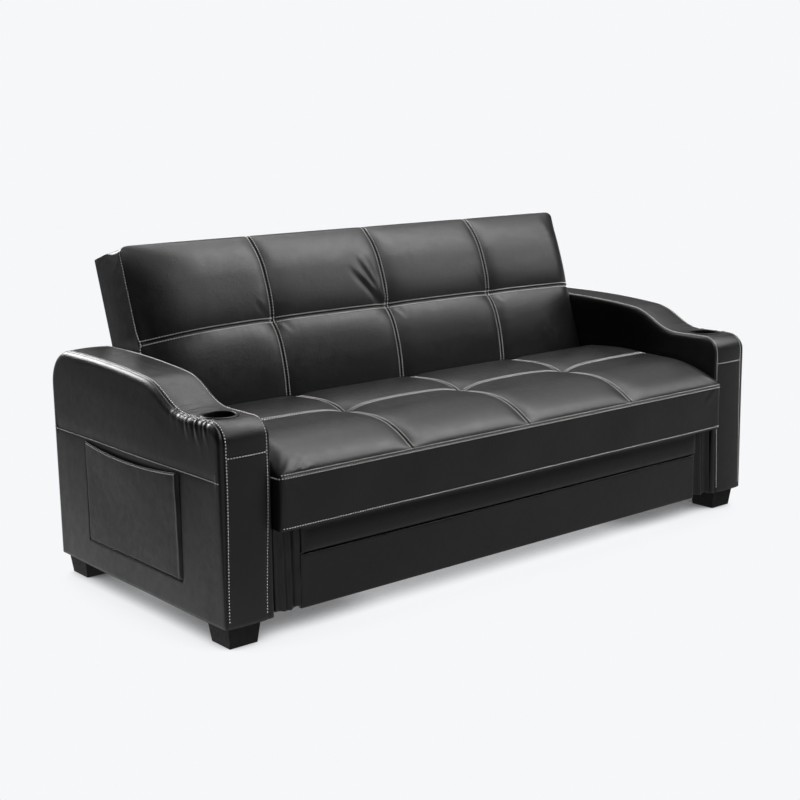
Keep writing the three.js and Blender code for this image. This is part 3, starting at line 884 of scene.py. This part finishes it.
def arm_top_curve():
    """(y, z) points over an arm, y from its front: front corner, level top, the rise, and the rear corner."""
    high = ARM_HIGH.z
    depth = ARM_REAR - FRONT
    curve = [np.array([[0, LEVEL_Z - ARM_FRONT_CORNER]])]
    curve.append(corner_arc((ARM_FRONT_CORNER, LEVEL_Z - ARM_FRONT_CORNER), ARM_FRONT_CORNER, 180, 90, 16))
    curve.append(np.array([[LEVEL_END, LEVEL_Z]]))
    curve.append(bezier([(LEVEL_END, LEVEL_Z), (0.250, LEVEL_Z), (0.280, 0.642), RISE_END], 24))
    curve.append(bezier([RISE_END, (0.520, high - 0.001), (0.700, high)], 20))
    centre = (depth - ARM_REAR_CORNER, high - ARM_REAR_CORNER)
    curve.append(np.array([[centre[0], high]]))
    curve.append(corner_arc(centre, ARM_REAR_CORNER, 90, 0, 20))
    return np.concatenate(curve)


def arm_outline():
    """The stations round an arm, from the front's lower edge over the top to the rear's.

    Gives their (y, z) points, their outward directions, and their lengths along the top, which are -1 up the
    front and past the top's end down the rear. Then, for the sides: the heights of points below the side
    seam, the shares of the way up of those above it, and the slice of stations that is the top.
    """
    top = arm_top_curve()
    lengths = arc_lengths(top)
    total = lengths[-1]
    pocket_rear = float(np.interp(POCKET_HIGH.y - FRONT, top[:, 0], lengths))
    steps = np.concatenate([
        spaced(0, GATHERED[0], 0.006)[:-1],
        spaced(GATHERED[0], GATHERED[1], 0.0035)[:-1],
        spaced(GATHERED[1], total, 0.011, (pocket_rear,), (-0.006, -0.003, -0.0015, 0, 0.0015, 0.003, 0.006)),
    ])
    top = along_curve(top, steps)
    low_z = spaced(ARM_FLOOR, ARM_SIDE_SEAM_Z, 0.016, (POCKET_LOW.z, ARM_SIDE_SEAM_Z),
                   (-0.016, -0.010, -0.005, -0.002, 0.0, 0.002, 0.005))
    low_z = low_z[low_z < ARM_SIDE_SEAM_Z - 0.001]
    high_z = spaced(ARM_SIDE_SEAM_Z, top[0, 1], 0.009, (ARM_FRONT_SEAM_Z,),
                    (-0.008, -0.003, 0.0, 0.003, 0.008))
    share = (high_z - ARM_SIDE_SEAM_Z) / (top[0, 1] - ARM_SIDE_SEAM_Z)
    rear_high = ARM_SIDE_SEAM_Z + share * (top[-1, 1] - ARM_SIDE_SEAM_Z)
    front_z = np.concatenate([low_z, high_z])
    rear_z = np.concatenate([low_z, rear_high])
    front_line = np.stack([np.zeros(len(front_z) - 1), front_z[:-1]], axis=1)
    rear_line = np.stack([np.full(len(rear_z) - 1, top[-1, 0]), rear_z[:-1][::-1]], axis=1)
    outline = np.concatenate([front_line, top, rear_line])
    tangent = np.gradient(outline, axis=0)
    tangent[:len(front_line) + 1] = (0, 1)
    tangent[-len(rear_line) - 1:] = (0, -1)
    tangent /= np.linalg.norm(tangent, axis=1, keepdims=True)
    outward = np.stack([-tangent[:, 1], tangent[:, 0]], axis=1)
    over = np.concatenate([np.full(len(front_line), -1.0), steps, np.full(len(rear_line), total + 1.0)])
    return outline, outward, over, low_z, share, slice(len(front_line), len(front_line) + len(top))


def gathers(length, distance):
    """Height of the small folds in the outer seam beside the cup, which lean forward as they run down."""
    total = np.zeros(np.broadcast(length, distance).shape)
    down = np.maximum(distance, 0)
    for start, reach, height in GATHERS:
        middle = start - 0.35 * down
        wide = 0.0046 + 0.09 * down
        fold = np.exp(-(((length - middle) / wide) ** 2))
        fold = fold - 0.7 * np.exp(-(((length - middle - 1.7 * wide) / wide) ** 2))
        fade = np.exp(-((np.maximum(distance, -0.4 * distance) / reach) ** 2))
        total = total + height * fold * fade * (0.35 + 0.65 * smooth(-0.004, 0.014, np.abs(distance)))
    return total


def arm_strip(outline, outward, over):
    """(x, y, z) grid of the strip over an arm, from its outer side to its inner side, with a roll at each."""
    lower = np.where(over < 0, 1 - smooth(ARM_FLOOR, 0.45, outline[:, 1]), 0.0)
    outer_width = OUTER_ROLL_WIDTH + (OUTER_ROLL_LOW - OUTER_ROLL_WIDTH) * lower
    inner_width = INNER_ROLL_WIDTH + (INNER_ROLL_LOW - INNER_ROLL_WIDTH) * lower
    outer_seam = ARM_OUT - outer_width
    inner_seam = ARM_IN + inner_width
    span = outer_seam - inner_seam
    turn = np.linspace(0, math.pi / 2, 7)
    columns = []
    power = 1 - FRONT_TIGHTNESS * (1 - smooth(0.0, 0.05, over))
    for angle in turn:
        rise, run = math.sin(angle), math.cos(angle)
        fold = gathers(over, 0.004 + (ROLL - 0.004) * (1 - rise))
        lift = -ROLL + (ROLL - ROLL_SINK) * rise ** power + fold * rise
        columns.append((ARM_OUT - outer_width * (1 - run ** power) + SIDE_GATHERS * fold * run, lift))
    columns.append((outer_seam - 0.0012, -0.0046 + gathers(over, 0.0)))
    nominal = float(span.max())
    stitched = (0.0075, nominal - 0.0075)
    for distance in spaced(0.0030, nominal - 0.0030, 0.0085, stitched, (-0.003, 0.0, 0.003)):
        u = distance / nominal
        crown = 0.0030 * (1 - (2 * u - 1) ** 2) - 0.0020 * math.exp(-distance / 0.006)
        crown -= 0.0020 * math.exp(-(nominal - distance) / 0.006)
        across = outer_seam - u * span
        gap = np.hypot(outline[:, 0] + FRONT - CUP_CENTRE.y, across - abs(CUP_CENTRE.x))
        flat = np.where((over >= 0) & (over < 1), 1 - smooth(0.055, 0.085, gap), 0.0)
        lift = crown * (1 - flat * (crown > 0)) + gathers(over, -distance)
        lift = lift - 0.0018 * np.exp(-(((outline[:, 1] - ARM_FRONT_SEAM_Z) / 0.0025) ** 2)) * (over < 0)
        columns.append((across, lift))
    columns.append((inner_seam + 0.0010, np.full(len(over), -0.0036)))
    for angle in turn[::-1]:
        lift = -ROLL + (ROLL - ROLL_SINK) * math.sin(angle) ** power
        columns.append((ARM_IN + inner_width * (1 - math.cos(angle) ** power), lift))
    grid = np.zeros((len(outline), len(columns), 3))
    for j, (x, lift) in enumerate(columns):
        grid[:, j, 0] = x
        grid[:, j, 1] = FRONT + outline[:, 0] + outward[:, 0] * lift
        grid[:, j, 2] = outline[:, 1] + outward[:, 1] * lift
    return grid, outer_seam, inner_seam


def arm_side(ring, lengths, low_z, share, outer):
    """(x, y, z) grid of one side of an arm, inside the strip's last ring of points."""
    rows = len(low_z) + len(share)
    grid = np.zeros((len(ring), rows, 3))
    for i, (y, high) in enumerate(ring):
        grid[i, :, 1] = FRONT + y
        grid[i, :, 2] = np.concatenate([low_z, ARM_SIDE_SEAM_Z + share * (high - ARM_SIDE_SEAM_Z)])
    y, z = grid[..., 1] - FRONT, grid[..., 2]
    depth = ARM_REAR - FRONT
    edge = np.minimum.reduce([y, depth - y, ring[:, 1:2] + ROLL - z])
    middle = smooth(ROLL, 0.09, edge)
    puff = 0.0016 * np.sin(math.pi * y / depth) * middle
    puff += 0.0012 * np.sin(y * 11.0 + 0.6) * np.sin(z * 9.0 + 1.3) * middle
    if not outer:
        grid[..., 0] = ARM_IN + PIN_CLEARANCE * middle
    else:
        puff -= 0.0022 * np.exp(-np.abs(z - ARM_SIDE_SEAM_Z) / 0.010) * smooth(ROLL, 0.03, edge)
        below = ring[:, 1:2] + ROLL - z
        puff += SIDE_GATHERS * gathers(np.repeat(lengths[:, None], rows, 1), below)
        front, rear = POCKET_LOW.y - FRONT, POCKET_HIGH.y - FRONT
        inside = np.minimum.reduce([y - front, rear - y, z - POCKET_LOW.z])
        under = smooth(-0.004, 0.004, inside) * (1 - smooth(0.425, 0.436, z))
        puff -= np.maximum(puff, 0) * under
        puff -= 0.0030 * np.exp(-((inside / 0.0026) ** 2)) * (1 - smooth(0.415, 0.430, z))
        grid[..., 0] = ARM_OUT + puff
    return grid


def make_arm(side, sign):
    """The padded leather cover of one arm: a strip over the front, top and rear, between two side panels."""
    outline, outward, over, low_z, share, top = arm_outline()
    strip, outer_seam, inner_seam = arm_strip(outline, outward, over)
    ring = (outline - outward * ROLL)[top]
    sides = [arm_side(ring, over[top], low_z, share, outer) for outer in (True, False)]
    points, faces = [], []
    for grid in [strip] + sides:
        first = len(points)
        grid = grid * np.array([sign, 1, 1])
        points.extend(map(tuple, grid.reshape(-1, 3)))
        faces.extend(grid_faces(grid.shape[0], grid.shape[1], False, first))
    points, faces = cut_cup_hole(points, faces, sign)
    piece = new_object(side + "_arm_skin", points, faces, LEATHER)
    tidy_mesh(piece)
    subdivide(piece)
    thicken(piece, ARM_SKIN_THICKNESS, -1)
    stand_for(side + "_arm_cover", piece, "base")

    lines = []
    shown = range(1, len(outline) - 1)
    for line_x in (outer_seam - 0.0066, inner_seam + 0.0056):
        lines.append([((sign * line_x[k], FRONT + outline[k, 0], outline[k, 1]),
                       (0, outward[k, 0], outward[k, 1])) for k in shown])
    lines.append([((sign * x, FRONT, ARM_FRONT_SEAM_Z - 0.0045), (0, -1, 0))
                  for x in np.linspace(inner_seam[top][0] + 0.008, outer_seam[top][0] - 0.008, 20)])
    lines.append([((sign * ARM_OUT, FRONT + y, ARM_SIDE_SEAM_Z - 0.0042), (sign, 0, 0))
                  for y in np.linspace(0.007, ARM_REAR - FRONT - 0.007, 90)])
    stitches(side + "_arm_stitching", lines, surface_of(piece), "base")


def cut_cup_hole(points, faces, sign):
    """Opens the strip for the cup with rings of points that follow the hole's circle."""
    points = [tuple(p) for p in points]
    flat = np.array(points)
    centre = np.array([sign * abs(CUP_CENTRE.x), CUP_CENTRE.y])
    reach = np.hypot(flat[:, 0] - centre[0], flat[:, 1] - centre[1])
    near = (reach < CUP_RING + 0.006) & (flat[:, 2] > CUP_HIGH.z - 0.02)
    kept = [face for face in faces if not any(near[v] for v in face)]
    removed = [face for face in faces if any(near[v] for v in face)]
    kept_edges = {frozenset(edge) for face in kept for edge in zip(face, face[1:] + face[:1])}
    rim = {v for face in removed for edge in zip(face, face[1:] + face[:1])
           if frozenset(edge) in kept_edges for v in edge}
    rim = sorted(rim, key=lambda v: math.atan2(flat[v, 1] - centre[1], flat[v, 0] - centre[0]))
    loop = rim
    sunk = CUP_HIGH.z - 0.0052
    for radius, z in ((CUP_RING + 0.003, sunk), (CUP_HOLE + 0.001, sunk - 0.0001),
                      (CUP_HOLE, sunk - 0.0018), (CUP_HOLE, sunk - 0.0088)):
        first = len(points)
        for v in rim:
            turn = math.atan2(flat[v, 1] - centre[1], flat[v, 0] - centre[0])
            points.append((centre[0] + radius * math.cos(turn), centre[1] + radius * math.sin(turn), z))
        fresh = list(range(first, first + len(rim)))
        for k in range(len(rim)):
            n = (k + 1) % len(rim)
            kept.append((loop[k], loop[n], fresh[n], fresh[k]))
        loop = fresh
    return points, kept


# ---- side pockets -------------------------------------------------------------------------------------
def make_pocket(side, sign):
    """A flat patch pocket whose hem sags and stands a little open, sewn down at its sides and bottom."""
    low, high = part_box(side + "_side_pocket")
    near = ARM_OUT + 0.0002
    y0, y1, z0, z1 = low.y, high.y, low.z, high.z
    edges = np.array([0.002, 0.005, 0.009, 0.015, 0.024, 0.034])
    columns = np.unique(np.concatenate([np.linspace(0, 1, 48), edges, 1 - edges]))
    rows = np.unique(np.concatenate([np.linspace(0, 1, 36), edges, [0.985, 0.993]]))
    u, v = np.meshgrid(columns, rows, indexing="ij")
    sag = POCKET_SAG * 4 * u * (1 - u)
    from_side = np.minimum(u, 1 - u) * (y1 - y0)
    from_bottom = v * (z1 - z0)
    mouth = smooth(0.30, 1.0, v) ** 1.6 * np.sin(math.pi * u) ** 0.6
    out = 0.0026 + POCKET_MOUTH * mouth
    out += 0.0006 * np.sin(u * 9.0 + 0.5) * np.sin(v * 6.0 + 1.0) * smooth(0, 0.05, from_side)
    fold = np.exp(-(((u * (y1 - y0) - 0.0085) / 0.0060) ** 2))
    out += 0.0042 * fold * (0.30 + 0.70 * v) * smooth(0.0, 0.02, from_bottom)
    out -= 0.0050 * np.exp(-((from_side / 0.0028) ** 2)) + 0.0044 * np.exp(-((from_bottom / 0.0026) ** 2))
    y = y0 + (y1 - y0) * u + 0.0006 * np.sin(v * 17.0)
    z = z0 + (z1 - sag - z0) * v
    grid = np.stack([sign * (near + out), y, z], axis=2)
    piece = new_object(side + "_pocket_sheet", grid.reshape(-1, 3), grid_faces(len(columns), len(rows)),
                       THIN_LEATHER)
    tidy_mesh(piece)
    thicken(piece, SHEET_THICKNESS)
    subdivide(piece)
    stand_for(side + "_side_pocket", piece, "base")
    line = [((sign * near, y0 + (y1 - y0) * t, z1 - POCKET_SAG * 4 * t * (1 - t) - 0.0045), (sign, 0, 0))
            for t in np.linspace(0.02, 0.98, 60)]
    stitches(side + "_pocket_stitching", [line], surface_of(piece), "base")


# ---- cup holders --------------------------------------------------------------------------------------
def make_cup(side, sign):
    """A moulded cup with a low rounded rim that lies on the leather."""
    inner = CUP_RING - 0.0090
    outer = CUP_RING - 0.0004
    floor, under = CUP_LOW.z + 0.0025, CUP_LOW.z
    seat_z = CUP_HIGH.z - 0.0046
    profile = [(0.0, floor), (inner * 0.55, floor), (inner - 0.006, floor + 0.0005)]
    profile += [(inner - 0.006 + 0.006 * math.sin(a), floor + 0.0065 - 0.006 * math.cos(a))
                for a in np.linspace(0.3, math.pi / 2, 5)]
    profile += [(inner, z) for z in np.linspace(floor + 0.012, seat_z - 0.004, 6)]
    rim, rise = (outer - inner) / 2, 0.0024
    profile += [(inner + rim - rim * math.cos(a), seat_z + rise * math.sin(a) ** 0.8)
                for a in np.linspace(0.0, math.pi, 11)]
    skirt = CUP_HOLE - 0.0012
    profile += [(outer - 0.0006, seat_z - 0.0004), (skirt, seat_z - 0.0006)]
    profile += [(skirt, z) for z in np.linspace(seat_z - 0.004, under + 0.008, 5)]
    profile += [(skirt - 0.004, under + 0.001), (skirt - 0.009, under), (0.0, under)]
    spokes = 72
    points = []
    for radius, z in profile:
        for k in range(spokes):
            turn = 2 * math.pi * k / spokes
            points.append((sign * abs(CUP_CENTRE.x) + radius * math.cos(turn),
                           CUP_CENTRE.y + radius * math.sin(turn), z))
    piece = new_object(side + "_cup", points, grid_faces(len(profile), spokes, True), CUP_PLASTIC)
    tidy_mesh(piece)
    stand_for(side + "_cup_holder", piece, "base")


# ---- front panel, rail and side flaps -----------------------------------------------------------------
def slab(name, node, body, rounding, waves):
    """A thin padded panel in the space of a CAD node, facing forward, with soft waves over its front."""
    low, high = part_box(node)
    round_edge = rounding * np.array([0.15, 0.5, 1])
    x = np.unique(np.concatenate([spaced(low.x, high.x, 0.02), low.x + round_edge, high.x - round_edge]))
    z = np.unique(np.concatenate([spaced(low.z, high.z, 0.012), low.z + round_edge, high.z - round_edge]))
    xx, zz = np.meshgrid(x, z, indexing="ij")
    edge = np.minimum.reduce([xx - low.x, high.x - xx, zz - low.z, high.z - zz])
    drop = rounding * (1 - quarter(edge / rounding))
    front = low.y + drop + waves(xx, (zz - low.z) / (high.z - low.z)) * smooth(0, 2 * rounding, edge)
    grid = np.stack([xx, front, zz], axis=2)
    back = np.stack([xx, np.full_like(xx, high.y - 0.001), zz], axis=2)
    rows, columns = grid.shape[:2]
    points = np.concatenate([grid.reshape(-1, 3), back.reshape(-1, 3)])
    shift = rows * columns
    faces = grid_faces(rows, columns)
    faces += [tuple(v + shift for v in face[::-1]) for face in grid_faces(rows, columns)]
    ring = list(range(columns)) + [i * columns + columns - 1 for i in range(1, rows)]
    ring += [(rows - 1) * columns + j for j in range(columns - 2, -1, -1)]
    ring += [i * columns for i in range(rows - 2, 0, -1)]
    for k, v in enumerate(ring):
        n = ring[(k + 1) % len(ring)]
        faces.append((v, n, n + shift, v + shift))
    piece = new_object(name, points, faces, LEATHER)
    tidy_mesh(piece)
    subdivide(piece)
    stand_for(node, piece, body)


def panel_waves(x, height):
    """Long soft dents across the front panel."""
    return 0.0012 * np.sin(x * 7.0 + 1.0) * np.sin(height * 3.0) + 0.0008 * np.sin(x * 17.0 + height * 4.0)


def rail_waves(x, height):
    """A full roll that leans forward towards its lower edge."""
    lean = 0.0058 * (1 - 2 * height)
    return -0.0030 * np.sin(math.pi * height) - lean + 0.0010 * np.sin(x * 8.0 + 2.0) * np.sin(height * 2.5)


FLAPS = (  # side, sign, folds, their depth, how far it laps over the panel, how far its outer edge tucks back
    ("left", -1, ((0.42, 0.10, 1.0, 0.03), (0.68, 0.09, 0.8, -0.04), (0.90, 0.06, 0.4, 0.0)),
     0.0075, 0.015, 0.0055),
    ("right", 1, ((0.34, 0.22, 0.9, 0.12), (0.92, 0.13, 1.0, 0.08)), 0.0095, -0.0015, 0.0),
)


def make_flap(side, sign, folds, depth, overlap, tuck):
    """A strip of thin leather that closes the gap beside the front panel, in soft upright folds.

    Each fold is (place across, its half width, height, how far it leans outward from top to bottom).
    """
    low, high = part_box(side + "_side_flap")
    inner, outer = sorted((abs(low.x), abs(high.x)))
    u, v = np.meshgrid(np.linspace(0, 1, 84), np.linspace(0, 1, 34), indexing="ij")
    crest = np.zeros_like(u)
    for place, half, height, lean in folds:
        middle = place + lean * (1 - v) + 0.012 * np.sin(5.0 * v + 9.0 * place)
        reach = np.where(u < middle, half, 0.6 * half)
        crest += height * np.exp(-(((u - middle) / reach) ** 2)) * (0.7 + 0.3 * (1 - v))
    over_panel = (1 - smooth(0.05, 0.26, u)) * (overlap > 0)
    y = low.y + 0.0085 - depth * crest * (1 - over_panel) - 0.0095 * over_panel
    y += tuck * smooth(0.92, 1, u) + 0.0006 * np.sin(13.0 * v + 4.0 * u)
    y -= 0.0009 * over_panel * np.sin(9.0 * v)
    x = inner - overlap + (outer - inner + 0.0015 + overlap) * u
    hem = 0.0025 * np.sin(7.0 * u + 1.0) * (1 - v) ** 3
    bottom, top = low.z + 0.003, high.z + 0.0025
    z = bottom + (top - bottom) * v + hem
    grid = np.stack([sign * x, y, z], axis=2)
    piece = new_object(side + "_flap_sheet", grid.reshape(-1, 3), grid_faces(*u.shape), THIN_LEATHER)
    tidy_mesh(piece)
    thicken(piece, SHEET_THICKNESS)
    subdivide(piece)
    stand_for(side + "_side_flap", piece, "carriage")


# ---- rear cover of the back ---------------------------------------------------------------------------
REAR_FACE = 0.1268  # in the back's own frame, as are the edges below
COVER_HALF = 0.8405
COVER_LOW, COVER_HIGH = -0.0395, 0.5225
COVER_THICKNESS = 0.0008
STAPLE_PITCH = 0.045
STAPLE_INSET = 0.016
STAPLE_HALF_LENGTH, STAPLE_HALF_WIRE = 0.0055, 0.0006
STAPLE_SUNK, STAPLE_PROUD = -0.0006, 0.0012


def make_rear_cover():
    """Dust cloth stretched over the back's frame, its edges turned in and stapled to the timber."""
    half, low, high = COVER_HALF, COVER_LOW, COVER_HIGH
    turned = np.array([0.0, 0.004, 0.008, 0.014, 0.05])
    x = np.concatenate([-half + turned, np.linspace(-half + 0.07, half - 0.07, 70), (half - turned)[::-1]])
    z = np.concatenate([low + turned, np.linspace(low + 0.07, high - 0.07, 22), (high - turned)[::-1]])
    xx, zz = np.meshgrid(x, z, indexing="ij")
    edge = np.minimum.reduce([half - np.abs(xx), zz - low, high - zz])
    slack = 0.0007 * np.sin(xx * 21.0) * np.sin(zz * 17.0 + 0.4) * smooth(0.0, 0.05, edge)
    tight = 0.0004 * np.cos(xx * 2 * math.pi / STAPLE_PITCH) * np.exp(-edge / 0.02)
    y = REAR_FACE + slack + tight - 0.0050 * (1 - smooth(0, 0.010, edge))
    grid = np.stack([xx, y, zz], axis=2)
    piece = new_object("rear_dust_cover", back_to_world(grid.reshape(-1, 3)), grid_faces(*xx.shape), CLOTH)
    tidy_mesh(piece)
    thicken(piece, COVER_THICKNESS)
    stand_for("back_rear_cover", piece, "back")


def make_staples():
    """Staples all round the rear cover's edge, their crowns along it."""
    half, low, high = COVER_HALF - STAPLE_INSET, COVER_LOW + STAPLE_INSET, COVER_HIGH - STAPLE_INSET
    level_staple = (STAPLE_HALF_LENGTH, STAPLE_HALF_WIRE)
    staples = [(x, z, *level_staple) for x in np.arange(-half, half, STAPLE_PITCH) for z in (low, high)]
    staples += [(sign * half, z, *level_staple[::-1])
                for z in np.arange(low, high, STAPLE_PITCH) for sign in (-1, 1)]
    points, faces = [], []
    for x, z, half_x, half_z in staples:
        first = len(points)
        points += [(x + i * half_x, REAR_FACE + lift, z + k * half_z) for lift in (STAPLE_SUNK, STAPLE_PROUD)
                   for i, k in ((-1, -1), (1, -1), (1, 1), (-1, 1))]
        faces += [tuple(first + v for v in face) for face in
                  ((0, 1, 2, 3), (7, 6, 5, 4), (0, 4, 5, 1), (1, 5, 6, 2), (2, 6, 7, 3), (3, 7, 4, 0))]
    piece = new_object("rear_cover_staples", back_to_world(points), faces, STEEL)
    tidy_mesh(piece)
    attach(piece, "back")


# ---- carried-over nodes -------------------------------------------------------------------------------
ALONG_X, ALONG_Y, ALONG_Z = TIMBERS
ENDINGS = (
    ("cup_holder", CUP_PLASTIC), ("_foot", FOOT_PLASTIC), ("caster_wheel", FOOT_PLASTIC),
    ("arm_inner_panel", PLYWOOD), ("arm_outer_panel", PLYWOOD), ("seat_deck", PLYWOOD),
    ("_post", ALONG_Z), ("_stile", ALONG_Z), ("base_board", ALONG_Y), ("side_board", ALONG_Y),
    ("seat_left_rail", ALONG_Y), ("seat_right_rail", ALONG_Y), ("front_board", PLYWOOD),
    ("slide_rail", STEEL), ("slide_bar", STEEL), ("caster_fork", STEEL), ("caster_axle", STEEL),
    ("hinge_seat_plate", STEEL), ("hinge_back_plate", STEEL), ("hinge_pin", STEEL),
    ("rear_panel", LEATHER), ("back_cushion", LEATHER), ("seat_cushion", LEATHER), ("arm_cover", LEATHER),
    ("side_pocket", THIN_LEATHER), ("side_flap", THIN_LEATHER), ("front_panel", LEATHER),
    ("front_rail", LEATHER), ("back_rear_cover", CLOTH), ("_rail", ALONG_X), ("crossbeam", ALONG_X),
)


def finish_nodes():
    """Gives every CAD node its finish."""
    for name, node in nodes.items():
        material = next(found for ending, found in ENDINGS if name.endswith(ending))
        node.data.materials.clear()
        node.data.materials.append(material)


# ---- studio -------------------------------------------------------------------------------------------
BACKGROUND = (0.9216, 0.9301, 0.9473)
SHADE_REACH = 0.40  # how near the sofa has to be to shade the floor
FLOOR_SHADE = (  # painted shadow on the floor: share of open sky over it, and the share of its colour that is seen there
    (0.02, 0.02), (0.12, 0.09), (0.20, 0.25), (0.28, 0.47),
    (0.38, 0.71), (0.48, 0.86), (0.57, 0.96), (0.64, 1.0),
)
FLOOR_GLOW_FRONT = 0.51  # painted bounce light, a glow that the floor throws up and the camera does not see: in front, beside the left arm, and far to the left
FLOOR_GLOW_LEFT = 0.93
FLOOR_GLOW_FAR = 0.05
AMBIENT = 0.07
SOFT_BOX = 2.2
LIGHT_DISTANCE = 4.5
LIT_POINT = Vector((0, 0, 0.45))
CAMERA_YAW, CAMERA_PITCH, CAMERA_ROLL = 0.690546, 0.202162, -0.0137345  # to the right, down and anticlockwise
CAMERA_PLACE = Vector((-2.8085, FRONT - 2.8509, 1.3230))
CAMERA_LENS, CAMERA_SENSOR = 64.22, 36  # mm
LIGHTS = (  # name, azimuth from +X towards +Y and elevation in degrees, watts
    ("key", -30, 56, 112), ("low key", -30, 34, 80), ("overhead", 0, 78, 72), ("right", 4, 56, 34),
    ("low right", 30, 34, 8), ("rear right", 60, 56, 50), ("rim", 112, 30, 290), ("left fill", 272, 44, 62),
)


def make_floor():
    """A wide floor in the colour of the surroundings, with a painted shadow, darker where the sofa shades it,
    and a painted glow that lights the sofa.
    """
    rings = [0.0, 1.0, 2.0, 3.0, 4.5, 7.0, 12.0, 30.0, 80.0]
    spokes = 48
    points = [(r * math.cos(2 * math.pi * k / spokes), r * math.sin(2 * math.pi * k / spokes), 0)
              for r in rings for k in range(spokes)]
    m = Nodes("studio floor")
    # painted shadow: the colour the camera sees on the floor is darkened by how much of the sky the sofa hides
    # near it
    open_sky = m.node("AmbientOcclusion", {"Distance": SHADE_REACH}, samples=40).outputs["AO"]
    shade = m.colours(open_sky, [(at, tuple(level * c for c in BACKGROUND)) for at, level in FLOOR_SHADE])
    seen = m.node("Emission", {"Color": shade})
    # painted bounce light: other rays see the floor glow, brightest beside the left arm and fading far to the
    # left
    across = m.node("SeparateXYZ", {0: m.place}).outputs
    left = m.node("MapRange", {"Value": across["X"], "From Min": -ARM_OUT - 1.4, "From Max": -ARM_OUT,
                               "To Min": FLOOR_GLOW_FAR, "To Max": FLOOR_GLOW_LEFT})
    beside = m.node("MapRange", {"Value": across["X"], "From Min": -ARM_OUT, "From Max": -ARM_OUT + 0.3,
                                 "To Min": 0.0, "To Max": FLOOR_GLOW_LEFT - FLOOR_GLOW_FRONT})
    glow = m.node("Math", {0: left.outputs[0], 1: beside.outputs[0]}, operation="SUBTRACT").outputs[0]
    painted_bounce_glow = m.node("Emission", {"Color": (1, 1, 1, 1), "Strength": glow})
    path = m.node("LightPath").outputs["Is Camera Ray"]
    mix = m.node("MixShader", {0: path, 1: painted_bounce_glow.outputs[0], 2: seen.outputs[0]})
    m.tree.links.new(mix.outputs[0], m.tree.nodes["Material Output"].inputs["Surface"])
    new_object("floor", points, grid_faces(len(rings), spokes, True), m.material)


def make_world():
    """Pale surroundings to look at, which give only a faint light of their own."""
    world = bpy.data.worlds.new("studio")
    bpy.context.scene.world = world
    world.use_nodes = True
    tree = world.node_tree
    tree.nodes.clear()
    lighting = tree.nodes.new("ShaderNodeBackground")
    lighting.inputs["Strength"].default_value = AMBIENT
    seen = tree.nodes.new("ShaderNodeBackground")
    seen.inputs["Color"].default_value = (*BACKGROUND, 1)
    path = tree.nodes.new("ShaderNodeLightPath")
    mix = tree.nodes.new("ShaderNodeMixShader")
    tree.links.new(path.outputs["Is Camera Ray"], mix.inputs[0])
    tree.links.new(lighting.outputs[0], mix.inputs[1])
    tree.links.new(seen.outputs[0], mix.inputs[2])
    output = tree.nodes.new("ShaderNodeOutputWorld")
    tree.links.new(mix.outputs[0], output.inputs["Surface"])


def soft_light(name, azimuth, elevation, power):
    """A square soft box that faces the sofa and is not seen itself."""
    data = bpy.data.lights.new(name, "AREA")
    data.shape = "SQUARE"
    data.size = SOFT_BOX
    data.energy = power
    light = bpy.data.objects.new(name, data)
    round_about, up = math.radians(azimuth), math.radians(elevation)
    away = Vector((math.cos(up) * math.cos(round_about), math.cos(up) * math.sin(round_about), math.sin(up)))
    light.location = LIT_POINT + LIGHT_DISTANCE * away
    light.rotation_euler = away.to_track_quat("Z", "Y").to_euler()
    light.visible_camera = False
    bpy.context.scene.collection.objects.link(light)


def make_camera():
    """A camera that looks at the sofa from its left front, a little above it."""
    yaw, pitch, roll = CAMERA_YAW, CAMERA_PITCH, CAMERA_ROLL
    forward = Vector((math.sin(yaw) * math.cos(pitch), math.cos(yaw) * math.cos(pitch), -math.sin(pitch)))
    right = Vector((math.cos(yaw), -math.sin(yaw), 0))
    up = right.cross(forward)
    turned_right = right * math.cos(roll) + up * math.sin(roll)
    turned_up = up * math.cos(roll) - right * math.sin(roll)
    data = bpy.data.cameras.new("camera")
    data.lens = CAMERA_LENS
    data.sensor_width = CAMERA_SENSOR
    data.clip_end = 200
    camera = bpy.data.objects.new("camera", data)
    camera.location = CAMERA_PLACE
    camera.rotation_euler = Matrix((turned_right, turned_up, -forward)).transposed().to_euler()
    bpy.context.scene.collection.objects.link(camera)
    bpy.context.scene.camera = camera


# ---- build --------------------------------------------------------------------------------------------
finish_nodes()
make_seat()
make_back()
for side, sign in SIDES:
    make_arm(side, sign)
    make_pocket(side, sign)
    make_cup(side, sign)
slab("front_panel_skin", "front_panel", "carriage", 0.005, panel_waves)
slab("front_rail_skin", "front_rail", "carriage", 0.006, rail_waves)
for flap in FLAPS:
    make_flap(*flap)
make_rear_cover()
make_staples()
make_floor()
make_world()
for name, azimuth, elevation, power in LIGHTS:
    soft_light(name, azimuth, elevation, power)
make_camera()
bpy.context.scene.view_settings.view_transform = "Standard"
